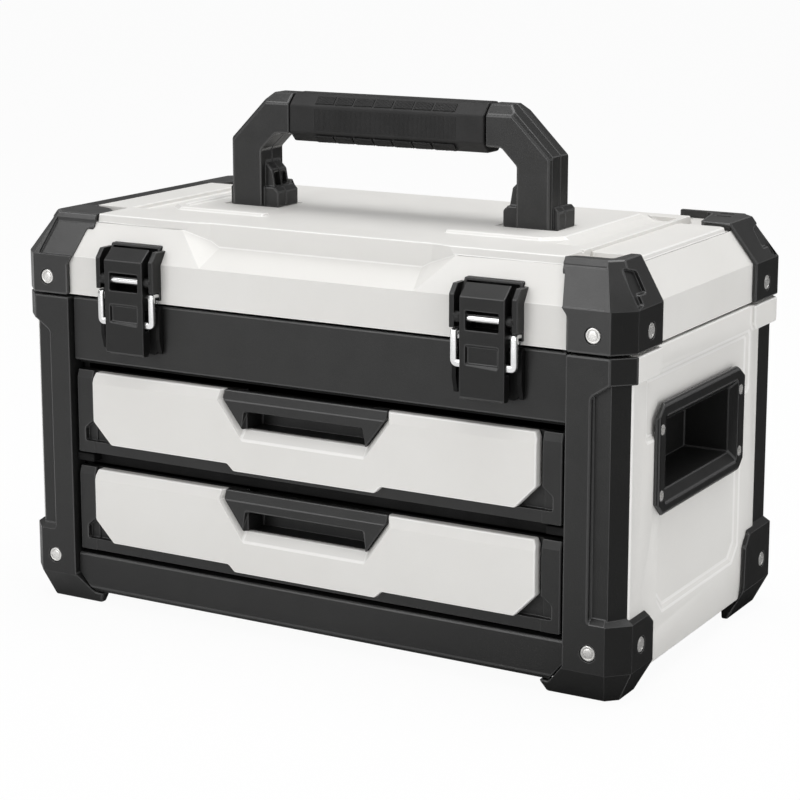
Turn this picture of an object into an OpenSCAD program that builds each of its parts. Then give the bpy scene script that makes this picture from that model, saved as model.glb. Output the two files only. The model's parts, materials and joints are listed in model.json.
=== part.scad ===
// Portable tool box: hinged lid over a well, two drawers, corner guards, draw latches and a fixed grip.
// Millimetres, +Z up. Inside the modules y runs from 0 at the front posts to body_d at the rear ones.

/* [Body] */
// Width over the corner posts
body_w = 420; // [390:1:470]
// Depth over the corner posts
body_d = 236; // [226:1:280]
// Height of the parting line between case and lid
seam_z = 200; // [196:1:214]
// Gap left along the parting line
seam_gap = 1.5; // [0.8:0.1:1.8]
// How far guards and posts stand proud of the panels
guard_t = 3; // [2:0.5:4]
// Corner bevel of the posts, seen from above
corner_c = 11.7; // [9:0.1:15]
// Thickness of the moulded side panels
panel_t = 4; // [3:0.5:5]
// Height of the lower edge of the side panels
panel_z = 13.5; // [12:0.5:16]
// Height of the step in the sunk field of the sides
sunk_z = 146; // [140:1:150]

/* [Posts and feet] */
// Width of a corner post on the front
post_w = 38; // [34:1:42]
// Width of the flush strip beside the opening
strip_w = 15.5; // [12:0.5:17]
// Depth of the relief cut into the outer post
relief = 4; // [3:0.5:5]
// Height of a front foot
foot_f_h = 46.8; // [40:0.2:50]
// Height of a rear foot
foot_r_h = 54; // [46:0.5:56]
// Length of a front foot along the side
foot_f_l = 41.8; // [36:0.2:44]
// Length of a rear foot along the side
foot_r_l = 53.4; // [48:0.2:56]
// Height of the bevel under a foot
foot_bevel_h = 18.5; // [14:0.5:20]
// Inset of the bevel under a foot
foot_bevel = 9; // [6:0.5:10]
// Height of the flared head of a post
head_h = 15.5; // [12:0.5:20]
// Length of the moulded corner block on the side panel
block_l = 46; // [40:1:50]
// Length of the rear guards along the lid's top
guard_r_l = 60; // [54:1:64]

/* [Drawers] */
// Height of the bottom rail's upper edge
rail_top = 33.5; // [30:0.5:35]
// Height of the bottom rail's lower edge
rail_z = 8; // [6:0.5:10]
// Gap between rail and lower drawer
rail_gap = 3.3; // [2:0.1:5]
// Height of the lower drawer's front
low_h = 54; // [50:0.5:58]
// Height of the upper drawer's front
up_h = 52.7; // [50:0.1:56]
// Space between the drawer fronts
drawer_gap = 9.6; // [8:0.2:11]
// Space between the upper drawer and the band
band_gap = 6; // [4:0.2:7]
// Setback of band, rail and drawer frames behind the posts
setback = 4; // [3:0.5:5]
// Space between a tray and the inner edge of the posts
tray_gap = 12; // [11:0.5:30]
// Wall of the drawer trays
tray_wall = 2; // [1.6:0.2:3]
// Length of the trays behind the front frame
tray_l = 202; // [180:1:204]
// Running gap of the tray ribs in their grooves
run_gap = 0.4; // [0.3:0.1:0.6]
// Half width of the finger pull at its top
pull_hw = 57; // [50:1:62]
// Half width of the finger recess
pull_in = 43; // [38:1:46]

/* [Lid] */
// Height of the upright wall of the lid
lid_wall_h = 25; // [22:1:30]
// Rise of the sloping edge of the lid
lid_rise = 20.5; // [18:0.5:24]
// Run of the sloping edge at the front and rear
lid_run = 13; // [11:0.5:16]
// Run of the sloping edge at the sides
lid_run_x = 11; // [9:0.5:14]
// Height of the top plate above the lid's edge
crown = 5; // [3:0.5:6]
// Wall of the lid shell
lid_t = 3; // [2.4:0.2:3.5]
// Height of the beads round the handle
bead_h = 1.8; // [1:0.1:2.5]
// Depth of the pockets beside the beads
pocket_d = 3; // [2:0.1:4]
// Inset of the beads from the sides
field_in = 71; // [68:1:80]
// Space between the front shelf and the middle of a latch
shelf_in = 28.5; // [26:0.5:36]

/* [Carrying handle] */
// Half width over the legs
grip_hw = 114; // [106:1:120]
// Width of a leg
leg_w = 23; // [20:0.5:26]
// Depth of the handle
grip_d = 25; // [22:0.5:28]
// Height of the handle above the lid
grip_h = 72.5; // [68:0.5:80]
// Thickness of the bridge
bridge_t = 25.5; // [22:0.5:27]
// Half length of the sleeve
sleeve_hl = 70; // [60:1:74]
// Place of the handle's middle behind the front
grip_y = 110; // [104:1:126]
// Bevel along the top of the handle
grip_bevel = 6; // [3:0.5:7]
// Bevel along the legs
leg_bevel = 1.8; // [1:0.2:3]

/* [Latches] */
// Inset of the latches from the sides
latch_in = 86.5; // [82:0.5:96]
// Width of the lever
lever_w = 28.4; // [24:0.1:29]
// Lever front face ahead of the posts
lever_out = 7; // [6.5:0.1:8]
// Reach of the lever below the parting line
lever_down = 31.7; // [28:0.1:34]
// Reach of the lever above the parting line
lever_up = 27; // [26:0.1:28]
// Height of the lever's pin above the parting line
pin_up = 14.5; // [14:0.1:15]
// Radius of the lever's pin
pin_r = 2.2; // [1.8:0.1:2.3]
// Radius of the bail wire
wire_r = 1.3; // [1.1:0.05:1.4]
// Half width of the latch housing
ear_x = 21.5; // [21.2:0.1:22.4]

/* [Side handles] */
// Length of the side handle frame
side_l = 132; // [126:1:138]
// Height of the side handle frame
side_h = 66; // [60:1:68]
// Place of its front edge behind the front
side_y = 43; // [40:0.5:52]
// Height of its lower edge
side_z = 100; // [96:0.5:101]
// Length of the hand opening
hand_l = 104; // [96:1:108]
// Height of the hand opening
hand_h = 40; // [34:1:42]
// Depth of the cup
cup_d = 33; // [28:1:34]

/* [Hinges and screws] */
// Hinge axis behind the rear posts
axis_out = 1.5; // [1.2:0.1:2]
// Radius of the hinge knuckles
knuckle_r = 3.5; // [3.2:0.1:3.8]
// Radius of the hinge pins
hinge_pin_r = 1.5; // [1.2:0.1:1.8]
// Length of a hinge
hinge_l = 48; // [40:1:60]
// Inset of the hinges from the sides
hinge_in = 100; // [80:1:120]
// Running gap of the hinge pins and latch pins
fit = 0.06; // [0.04:0.01:0.09]
// Radius of the corner screws' heads
screw_r = 4.5; // [4:0.1:4.8]
// Radius of the heads in the side handles
side_screw_r = 3.2; // [2.6:0.1:3.3]

/* [Hidden] */

$fn = 48;
big = 2 * body_w;
rt2 = sqrt(2);
hw = body_w / 2;
case_top = seam_z - seam_gap / 2;
lid_bot = seam_z + seam_gap / 2;
// the origin lies under the middle of the whole box, latches and hinges included
y0 = -(body_d + axis_out + knuckle_r - lever_out) / 2;
// the catch and the hinges need some depth of their own
post_x = hw - post_w;
strip_x = post_x + strip_w;
tray_hw = post_x - tray_gap;
latch_x = hw - latch_in;
hinge_x = hw - hinge_in;
field_hw = hw - field_in;
shelf_top = latch_x - shelf_in;     // half width of the front shelf at the top of the slope
shelf_hw = shelf_top - 21;          // and at its foot
side_x = hw - guard_t;              // outer face of the side panels and of the lid
side_in = side_x - panel_t;         // inner face of the side panels
front_in = 10;                      // rear face of the band
post_gap = 0.4;                     // seam between the posts and the band
frame_y = 8;                        // rear plate of a drawer front starts here
frame_t = 4;                        // thickness of that plate
well_t = 2.5;
low_z = rail_top + rail_gap;
up_z = low_z + low_h + drawer_gap;
band_z = up_z + up_h + band_gap;
floor_z = panel_z;                  // underside of the base plate
floor_t = 3.5;
lid_z1 = seam_z + lid_wall_h;       // foot of the lid's sloping edge
lid_z2 = lid_z1 + lid_rise;         // top of the lid's edge
lid_top = lid_z2 + crown;           // raised field and guards
guard_run = lid_run + guard_t;
guard_run_x = lid_run_x + guard_t;
axis_y = body_d + axis_out;

// ---------- forms ----------
// a prism whose outline across direction a is given by rows [z, inset]
module slab(a, lo, hi, rows) rotate([0, 0, a]) rotate([90, 0, 0])
    linear_extrude(4 * big, center = true) polygon(concat(
        [for (r = rows) [hi - r[1], r[0]]],
        [for (i = [len(rows) - 1:-1:0]) [lo + rows[i][1], rows[i][0]]]));

// bevelled block: rows are [z, inset in x, inset in y, inset across the corners]
module stack(x0, x1, ya, yb, c, rows) intersection() {
    slab(0, x0, x1, [for (r = rows) [r[0], r[1]]]);
    slab(90, ya, yb, [for (r = rows) [r[0], r[2]]]);
    slab(-45, (x0 - yb + c) / rt2, (x1 - ya - c) / rt2, corner_rows(rows));
    slab(45, (x0 + ya + c) / rt2, (x1 + yb - c) / rt2, corner_rows(rows));
}
// the corner facets fold a hair lower, so that no more than three faces meet in a point
function corner_rows(rows) = [for (i = [0:len(rows) - 1]) [rows[i][0] - (i > 0 && i < len(rows) - 1 ? 0.2 : 0), rows[i][3]]];

function even(rows) = [for (r = rows) [r[0], r[1], r[1], r[1]]];

// extrude a front view polygon [x, z] from y = a to y = b
module face(a, b, pts) translate([0, b, 0]) rotate([90, 0, 0]) linear_extrude(b - a) polygon(pts);

// extrude a side view polygon [y, z] from x = a to x = b
module cheek(a, b, pts) translate([a, 0, 0]) rotate([90, 0, 90]) linear_extrude(b - a) polygon(pts);

module plan(za, zb, pts) translate([0, 0, za]) linear_extrude(zb - za) polygon(pts);

module at(c) translate([0, y0, 0]) color(c) children();
module left_copy() mirror([1, 0, 0]) children();
module both() { children(); mirror([1, 0, 0]) children(); }
module rear() translate([0, body_d, 0]) mirror([0, 1, 0]) children();
module box(x0, x1, ya, yb, za, zb) translate([x0, ya, za]) cube([x1 - x0, yb - ya, zb - za]);
module rod_y(x, z, r, ya, yb) translate([x, yb, z]) rotate([90, 0, 0]) cylinder(r = r, h = yb - ya);
module rod_x(y, z, r, xa, xb) translate([xa, y, z]) rotate([0, 90, 0]) cylinder(r = r, h = xb - xa);

white = [0.88, 0.87, 0.85];
black = [0.2, 0.2, 0.2];
steel = [0.75, 0.75, 0.76];

// ---------- corner posts ----------
// outer form of the case's corners, bevelled under the feet
module case_form() stack(-hw, hw, 0, body_d, corner_c,
    even([[0, foot_bevel], [foot_bevel_h, 0], [case_top, 0]]));

// the same, with its upper edge bevelled in at height h
module foot_form(h) stack(-hw, hw, 0, body_d, corner_c,
    even([[0, foot_bevel], [foot_bevel_h, 0], [h, 0], [h + guard_t, relief]]));

narrow_x = hw - relief;
head_z = case_top - head_h;
leg_in = 13;                         // inner face of a post's side leg, from the outside
post_d = 14;                         // depth of a post's front leg
leg_f = 36;                          // length of the side legs
leg_r = 34;
panel_ya = relief + 9.2;             // the side panels reach from here
panel_yb = body_d - leg_r;           // to here

// side foot outline: h height, l length, f flare of the toe along the side
module foot_side(h, l, f) cheek(hw - leg_in, hw + 1, f > 0
    ? [[-1, -1], [l + f - 1, -1], [l + f, 5], [l + 1, 22], [l, h - 7], [l - 6.5, h], [l - 6.5, h + 5], [-1, h + 5]]
    : [[-1, -1], [l - 6, -1], [l - 6, 0], [l, foot_bevel_h - 4], [l, h - 6], [l - 7, h], [l - 7, h + 5], [-1, h + 5]]);

// the foot seen from the front, with its low toe under the rail
toe_z = rail_z - 0.6;
module front_foot_cut(h) face(-1, post_d, [[post_x - 13.4, -1], [post_x - 13.4, 0], [post_x - 17, toe_z], [post_x - 11.3, toe_z],
    [post_x - 8.3, 10], [post_x, 19.6], [post_x, h + 12], [strip_x, h + 9], [hw - corner_c, h + 3.2], [hw + 1, h + 3.2], [hw + 1, -1]]);

// h foot height, l foot length, f toe flare, leg length of the side leg, seat_y where the panel starts,
// head: the flare reaches round to the side
module post(h, l, f, leg, seat_y, head) difference() {
    union() {
        // narrow shaft, as an angle
        plan(foot_bevel_h + 3, case_top, [[post_x, relief / 2], [strip_x, relief / 2], [strip_x, relief],
            [narrow_x - 8, relief], [narrow_x, panel_ya], [narrow_x, leg], [hw - leg_in, leg],
            [hw - leg_in, post_d], [post_x, post_d]]);
        // flush strip beside the opening
        box(post_x, strip_x, 0, post_d, foot_bevel_h + 3, case_top);
        // flared head
        intersection() {
            case_form();
            face(-1, panel_ya, [[strip_x - 0.01, head_z - 7.2], [hw - corner_c, head_z],
                [hw + 1, head_z], [hw + 1, case_top], [strip_x - 0.01, case_top]]);
        }
        // foot
        intersection() {
            foot_form(h);
            union() {
                front_foot_cut(h);
                foot_side(h, l, f);
            }
        }
    }
    // seat of the side panel
    box(side_in, side_x, seat_y, body_d / 2, panel_z, case_top + 1);
    box(side_in, hw + 1, head ? panel_ya : corner_c, body_d / 2, head_z, case_top + 1);
    // screw seats
    corner_screw_holes();
}
seat_gap = 0.6;
shank_r = 2;
foot_screw_z = 30;
foot_screw_x = hw - 22;
foot_screw_y = 24.4;
module corner_screw_holes() {
    rod_y(foot_screw_x, foot_screw_z, screw_r + seat_gap, -1, 1.6);
    rod_y(foot_screw_x, foot_screw_z, shank_r, -1, 8);
    rod_x(foot_screw_y, foot_screw_z + 2, screw_r + seat_gap, hw - 1.6, hw + 1);
    rod_x(foot_screw_y, foot_screw_z + 2, shank_r, hw - 8, hw + 1);
}
module one_screw() {           // axis along +z, head at the top, z = 0 at the outer face
    difference() {
        translate([0, 0, -1.6]) cylinder(r = screw_r, h = 1.4);
        // turned ring in the head
        translate([0, 0, -0.6]) difference() { cylinder(r = screw_r * 0.76, h = 1); cylinder(r = screw_r * 0.64, h = 1); }
    }
    translate([0, 0, -8]) cylinder(r = shank_r, h = 7);
}
module screw_front(x, z) translate([x, 0, z]) rotate([90, 0, 0]) one_screw();
module screw_side(y, z) translate([hw, y, z]) rotate([0, 90, 0]) one_screw();

module front_post() post(foot_f_h, foot_f_l, 0, leg_f, panel_ya, true);
module rear_post() post(foot_r_h, foot_r_l, 5.6, leg_r, leg_r, false);

module post_front_right() at(black) front_post();
module post_front_left() at(black) left_copy() front_post();
module post_rear_right() at(black) rear() rear_post();
module post_rear_left() at(black) left_copy() rear() rear_post();

module case_screws() at(steel) both() {
    screw_front(foot_screw_x, foot_screw_z);
    screw_side(foot_screw_y, foot_screw_z + 2);
    rear() screw_front(foot_screw_x, foot_screw_z);
    rear() screw_side(foot_screw_y, foot_screw_z + 2);
}

// ---------- case panels ----------
block_z = head_z;
rear_l = block_l + 2.6;              // the rear blocks and guards are a little longer
// sunk field: [y, z] outline of the wide upper and of the narrow lower part
field_d = 2.2;
field_b = 3.2;
module sunk(ya, yb, za, zb, c) hull() {
    cheek(side_x, side_x + 1, [[ya, za + c], [ya, zb - c], [ya + c, zb], [yb - c, zb], [yb, zb - c],
        [yb, za + c], [yb - c, za], [ya + c, za]]);
    cheek(side_x - field_d, side_x, [[ya + field_b, za + field_b + c], [ya + field_b, zb - field_b - c],
        [ya + field_b + c, zb - field_b], [yb - field_b - c, zb - field_b], [yb - field_b, zb - field_b - c],
        [yb - field_b, za + field_b + c], [yb - field_b - c, za + field_b], [ya + field_b + c, za + field_b]]);
}
hand_y = side_y + (side_l - hand_l) / 2 - 1.2;
hand_z = side_z + (side_h - hand_h) / 2;
cup_t = 2.4;
collar = 4.8;
module side_panel() difference() {
    union() {
        box(side_in, side_x, panel_ya, panel_yb, panel_z, case_top);
        // raised corner blocks under the lid's guards
        intersection() {
            case_form();
            union() {
                cheek(side_in, hw + 1, [[panel_ya, block_z], [block_l - 3, block_z], [block_l, block_z + 4],
                    [block_l, case_top], [panel_ya, case_top]]);
                cheek(side_in, hw + 1, [[body_d - corner_c, block_z], [body_d - rear_l + 3, block_z],
                    [body_d - rear_l, block_z + 4], [body_d - rear_l, case_top], [body_d - corner_c, case_top]]);
            }
        }
    }
    sunk(side_y - 11, body_d - 49, sunk_z, head_z, 2);
    sunk(side_y + 8, body_d - 60, panel_z + 27.5, sunk_z + 19, 9);
    // opening for the handle cup
    box(side_in - 1, side_x + 1, hand_y - collar - 0.2, hand_y + hand_l + collar + 0.2,
        hand_z - collar - 0.2, hand_z + hand_h + collar + 0.2);
    // holes of its screws
    side_screw_holes(1.3);
    rod_x(foot_screw_y, foot_screw_z + 2, shank_r, side_in - 1, side_x + 1);
}
module side_panel_right() at(white) side_panel();
module side_panel_left() at(white) left_copy() side_panel();

module back_panel() at(white) difference() {
    face(body_d - guard_t - panel_t, body_d - guard_t, [[-post_x + 6.8, floor_z], [post_x - 6.8, floor_z],
        [post_x - 0.2, 21], [post_x - 0.2, case_top], [-post_x + 0.2, case_top], [-post_x + 0.2, 21]]);
    // shallow field between the posts
    hull() {
        face(body_d - guard_t, body_d, [[-post_x + 24, 40], [post_x - 24, 40], [post_x - 24, case_top - 32],
            [-post_x + 24, case_top - 32]]);
        face(body_d - guard_t - 1.6, body_d, [[-post_x + 27, 43], [post_x - 27, 43], [post_x - 27, case_top - 35],
            [-post_x + 27, case_top - 35]]);
    }
}

module base_plate() at(black) difference() {
    union() {
        box(-hw + leg_in + 0.2, hw - leg_in - 0.2, post_d, body_d - post_d, floor_z, floor_z + floor_t);
        box(-side_in, side_in, foot_f_l + 2, body_d - foot_r_l - 8, floor_z, floor_z + floor_t);
        box(-post_x + 7, post_x - 7, post_d - 1.5, body_d - guard_t - panel_t, floor_z, floor_z + floor_t);
    }
    // stiffening channels on the underside
    for (i = [-2:2]) box(-tray_hw, tray_hw, body_d / 2 + i * 34 - 5, body_d / 2 + i * 34 + 5, floor_z - 1, floor_z + 1.2);
}

well_z = band_z - well_t;
well_x = hw - leg_in - 0.2;
well_top = case_top - 0.6;
module well_tray() at(black) difference() {
    union() {
        box(-well_x, well_x, post_d, body_d - post_d, well_z, well_top);
        box(-side_in, side_in, leg_f + 0.2, body_d - leg_r - 0.2, well_top - 5, well_top);
        box(-post_x + 0.2, post_x - 0.2, front_in, body_d - guard_t - panel_t, well_z, well_top);
    }
    box(-well_x + well_t, well_x - well_t, post_d + well_t, body_d - post_d - well_t, band_z, case_top + 1);
}

module front_band() at(black) cheek(-post_x + post_gap, post_x - post_gap, [[setback, band_z + 0.8], [setback + 0.8, band_z],
    [front_in, band_z], [front_in, case_top],
    [setback + 0.8, case_top], [setback, case_top - 0.8]]);

module bottom_rail() at(black) intersection() {
    cheek(-post_x, post_x, [[setback + 3, rail_z], [setback, rail_z + 3.5], [setback, rail_top - 1],
        [setback + 1, rail_top], [post_d - 1.5, rail_top], [post_d - 1.5, rail_z]]);
    face(0, post_d, [[-post_x + 11.9, rail_z - 1], [-post_x + post_gap, 20.3], [-post_x + post_gap, rail_top + 1],
        [post_x - post_gap, rail_top + 1], [post_x - post_gap, 20.3], [post_x - 11.9, rail_z - 1]]);
}

module divider_strip() at(black) {
    box(-cheek_in, cheek_in, post_d - 1.3, post_d + 2, low_z + low_h + 0.6, up_z - 0.6);
    both() box(cheek_in - 7.5, post_x, setback + 1, post_d - 1.2, low_z + low_h + 3, up_z - 1.4);
}

// drawers run on side ribs held in grooves of the cheeks
rib_z = 20;
rib_t = 4;
rib_w = 5.6;
cheek_in = tray_hw + rib_w + run_gap;
cheek_t = 4;
module runner_cheeks() at(black) both() difference() {
    union() {
        box(cheek_in, cheek_in + cheek_t, post_d - 1.3, body_d - guard_t - panel_t, floor_z + floor_t, well_z);
        box(cheek_in + cheek_t - 1, side_in, foot_f_l + 4, foot_f_l + 8, floor_z + floor_t, side_z - 4);
        box(cheek_in + cheek_t - 1, hw - leg_in - 0.3, body_d - 40, body_d - 36, floor_z + floor_t, well_z);
        box(cheek_in + cheek_t - 1, side_in, body_d - 40, body_d - 36, foot_r_h + 8, well_z);
        for (z = [low_z, up_z]) {
            box(tray_hw + 0.6, cheek_in + 1, post_d, body_d - 14, z + rib_z - run_gap - 3, z + rib_z - run_gap);
            box(tray_hw + 0.6, cheek_in + 1, post_d, body_d - 14, z + rib_z + rib_t + run_gap, z + rib_z + rib_t + run_gap + 3);
        }
    }
}

// ---------- drawers ----------
module tray(z) at(black) difference() {
    union() {
        box(-tray_hw, tray_hw, frame_y + frame_t, frame_y + frame_t + tray_l, z + 2, z + 48);
        both() box(tray_hw - 0.5, tray_hw + rib_w, frame_y + frame_t, frame_y + frame_t + tray_l - 2, z + rib_z, z + rib_z + rib_t);
    }
    box(-tray_hw + tray_wall, tray_hw - tray_wall, frame_y + frame_t + tray_wall,
        frame_y + frame_t + tray_l - tray_wall, z + 2 + tray_wall, z + 60);
    // way for the finger cup
    box(-pull_in - 4, pull_in + 4, frame_y, frame_y + frame_t + tray_wall + 1, z + 26, z + 60);
}

ledge_z = 7.2;
cap_x = post_x - 0.6;
function fascia_pts(z, h) = [[-154.7, z + 21.3], [-154.7, z + h - 4], [-153.2, z + h], [153.2, z + h], [154.7, z + h - 4],
    [154.7, z + 21.3], [141.2, z + ledge_z + 0.1], [54, z + ledge_z + 0.1], [49.5, z + 3], [-49.5, z + 3],
    [-54, z + ledge_z + 0.1], [-141.2, z + ledge_z + 0.1]];
// wx ties the front's outline to the opening between the posts
wx = cap_x / 171.4;
function wide(pts) = [for (p = pts) [abs(p[0]) > 100 ? p[0] + sign(p[0]) * (cap_x - 171.4) : p[0], p[1]]];

function mouth(z, h, e, up) = [[-pull_hw - e, z + h + up], [pull_hw + e, z + h + up], [pull_hw + e, z + h - 5.2 - e / 2],
    [pull_in + e / 8, z + 29.5 - e * 1.9], [-pull_in - e / 8, z + 29.5 - e * 1.9], [-pull_hw - e, z + h - 5.2 - e / 2]];

module fascia(z, h) at(white) difference() {
    intersection() {
        face(0, frame_y, wide(fascia_pts(z, h)));
        // slanted upper edge
        cheek(-big, big, [[0, z - 1], [0, z + h - 6.6], [2, z + h], [frame_y, z + h], [frame_y, z - 1]]);
    }
    hull() {
        face(-1, 0, mouth(z, h, 3.2, 20));
        face(4.5, 4.6, mouth(z, h, 0, 20));
    }
    face(4, frame_y + 1, mouth(z, h, 0, 20));
}

module pull(z, h) at(black) difference() {
    union() {
        intersection() {
            face(0.8, frame_y, mouth(z, h, -0.12, -0.1));
            cheek(-big, big, [[0.8, z], [0.8, z + h - 6], [3.6, z + h], [frame_y, z + h], [frame_y, z]]);
        }
        // finger cup reaching into the tray
        box(-pull_in - 1.8, pull_in + 1.8, frame_y - 0.01, frame_y + 14, z + 27.6, z + h - 3);
    }
    hull() {
        face(0.7, 0.8, [[-pull_in, z + 28], [pull_in, z + 28], [pull_in + 0.5, z + 31], [pull_in - 1.5, z + h - 11.5],
            [-pull_in + 1.5, z + h - 11.5], [-pull_in - 0.5, z + 31]]);
        face(4, 4.1, [[-pull_in + 2, z + 28], [pull_in - 2, z + 28], [pull_in - 2, z + h - 12.5], [-pull_in + 2, z + h - 12.5]]);
    }
    box(-pull_in + 2, pull_in - 2, 3.9, frame_y + 12.4, z + 29.6, z + h - 12.5);
    box(-pull_in + 2, pull_in - 2, 3.9, frame_y, z + 28, z + h - 12.5);
    box(-pull_in + 2, pull_in - 2, 6.4, frame_y + 12.4, z + 29.6, z + h - 6.5);
}

module drawer_frame(z, h) at(black) difference() {
    union() {
        box(-cap_x, cap_x, frame_y, frame_y + frame_t, z, z + h - 0.2);
        // end caps with a slanted head
        both() cheek(cap_x - 14.6, cap_x, [[setback - 0.5, z], [setback - 0.5, z + h - 5], [setback + 1.2, z + h],
            [frame_y + 0.1, z + h], [frame_y + 0.1, z]]);
        // ledge under the fascia and strip below it
        both() face(setback, frame_y + 0.1, [[cap_x - 26.5, z], [cap_x - 26.5, z + ledge_z - 1], [cap_x - 25.5, z + ledge_z],
            [cap_x - 8.5, z + ledge_z], [cap_x - 8.5, z]]);
        box(-cap_x + 20, cap_x - 20, setback, frame_y + 0.1, z, z + ledge_z);
    }
    // pocket beside the fascia's lower corner
    both() face(setback - 1, frame_y - 1, wide([[154.6, z + 21.5], [158, z + 20.2], [163.3, z + 16.2], [163.3, z + ledge_z + 0.2],
        [141, z + ledge_z + 0.2], [141, z + 8]]));
    // seat of the fascia
    face(-1, frame_y, wide(fascia_pts(z, h + 1)));
    // way for the finger cup
    box(-pull_in - 1.85, pull_in + 1.85, frame_y - 1, frame_y + frame_t + 1, z + 27.55, z + h + 1);
}

module upper_tray() tray(up_z);
module upper_frame() drawer_frame(up_z, up_h);
module upper_fascia() fascia(up_z, up_h);
module upper_pull() pull(up_z, up_h);
module lower_tray() tray(low_z);
module lower_frame() drawer_frame(low_z, low_h);
module lower_fascia() fascia(low_z, low_h);
module lower_pull() pull(low_z, low_h);

// ---------- side handles ----------
side_screw_y = [side_y + 5.6, side_y + side_l - 7.8];
side_screw_z = [side_z + 12.6, side_z + side_h - 15];
module side_screw_holes(r) for (y = side_screw_y, z = side_screw_z) rod_x(y, z, r, side_in - 2, hw + 1);
module side_handle() difference() {
    union() {
        // octagonal frame with a bevelled rim
        intersection() {
            cheek(side_x, hw, [[side_y, side_z + 8], [side_y, side_z + side_h - 8], [side_y + 9, side_z + side_h],
                [side_y + side_l - 12, side_z + side_h], [side_y + side_l, side_z + side_h - 8],
                [side_y + side_l, side_z + 8], [side_y + side_l - 9, side_z], [side_y + 9, side_z]]);
            cheek_bevel(side_y, side_y + side_l, side_z, side_z + side_h, 1.6);
        }
        box(side_in + 0.2, side_x + 0.1, hand_y - collar, hand_y + hand_l + collar, hand_z - collar, hand_z + hand_h + collar);
        box(side_x - cup_d, side_x, hand_y - cup_t, hand_y + hand_l + cup_t, hand_z - cup_t, hand_z + hand_h + cup_t);
    }
    box(side_x - cup_d + cup_t, hw + 1, hand_y, hand_y + hand_l, hand_z, hand_z + hand_h);
    // splayed mouth
    hull() {
        box(hw, hw + 1, hand_y - 3, hand_y + hand_l + 3, hand_z - 6, hand_z + hand_h + 5);
        box(side_in + 2, hw, hand_y, hand_y + hand_l, hand_z, hand_z + hand_h);
    }
    for (y = side_screw_y, z = side_screw_z) {
        rod_x(y, z, side_screw_r + 0.2, hw - 1.4, hw + 1);
        rod_x(y, z, 1.3, side_in - 2, hw + 1);
    }
}
// block with its outer face bevelled by b on the four long edges
module cheek_bevel(ya, yb, za, zb, b) intersection() {
    plan(0, big, [[side_x - 1, ya - 9], [hw - b, ya], [hw, ya + b], [hw, yb - b], [hw - b, yb], [side_x - 1, yb + 9]]);
    face(-1, body_d, [[side_x - 1, za], [hw - b, za], [hw, za + b], [hw, zb - b], [hw - b, zb], [side_x - 1, zb]]);
}
module side_handle_right() at(black) side_handle();
module side_handle_left() at(black) left_copy() side_handle();
module side_handle_screws() at(steel) both() for (y = side_screw_y, z = side_screw_z) translate([hw, y, z]) rotate([0, 90, 0]) {
    difference() {
        translate([0, 0, -1.4]) cylinder(r = side_screw_r, h = 1.2);
        translate([0, 0, -1]) cylinder(r = 1.6, h = 2, $fn = 6);
    }
    translate([0, 0, -8.4]) cylinder(r = 1.3, h = 7.1);
}

// ---------- lid ----------
lid_c = (side_x - guard_t) - (hw - corner_c - guard_t * rt2);
guard_run_c = 17.9;
lid_run_c = 14.2;
module lid_form() stack(-side_x, side_x, guard_t, body_d - guard_t, lid_c,
    [[lid_bot, 0, 0, 0], [lid_z1, 0, 0, 0], [lid_z2, lid_run_x, lid_run, lid_run_c]]);
// outer form of the guards
module guard_form() stack(-hw, hw, 0, body_d, corner_c,
    [[lid_bot, 0, 0, 0], [lid_z1, 0, 0, 0], [lid_top, guard_run_x, guard_run, guard_run_c]]);
module lid_hollow() stack(-side_x + lid_t, side_x - lid_t, guard_t + lid_t, body_d - guard_t - lid_t, lid_c,
    [[lid_bot - 1, 0, 0, 0], [lid_z1 - 1, 0, 0, 0], [lid_z2 - lid_t, lid_run_x, lid_run, lid_run_c]]);

field_y0 = 57;
field_y1 = body_d - 46;
plate_y1 = body_d - 38;              // rear edge of the top plate
shelf_y = guard_t + 17;              // back wall of the shelf
shelf_z = lid_z1 + 11;               // where its floor meets that wall
brow_y = guard_t + lid_run;          // front edge of the top plate
border = 26;                         // reach of the side borders from the outside
// half space beyond the plane through a and b that also holds direction e
module beyond(a, b, e) {
    n0 = cross(e, b - a);
    n = n0 / norm(n0);
    translate(a) rotate([0, acos(n[2]), atan2(n[1], n[0])]) translate([-big / 2, -big / 2, 0]) cube([big, big, big]);
}
module shelf_cut() difference() {
    cheek(-shelf_top - 8, shelf_top + 8, [[-3, lid_z1 - 3.9], [shelf_y, shelf_z], [shelf_y + 0.6, lid_top + 0.4], [shelf_y + 0.6, lid_top + 9], [-3, lid_top + 9]]);
    both() beyond([shelf_hw, guard_t, lid_z1], [shelf_top, brow_y, lid_z2], [0, 14, 10.6]);
    both() beyond([shelf_top - 18.6, shelf_y, shelf_z], [shelf_top + 0.4, brow_y, lid_z2], [3, 0, 15.2]);
}
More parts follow.
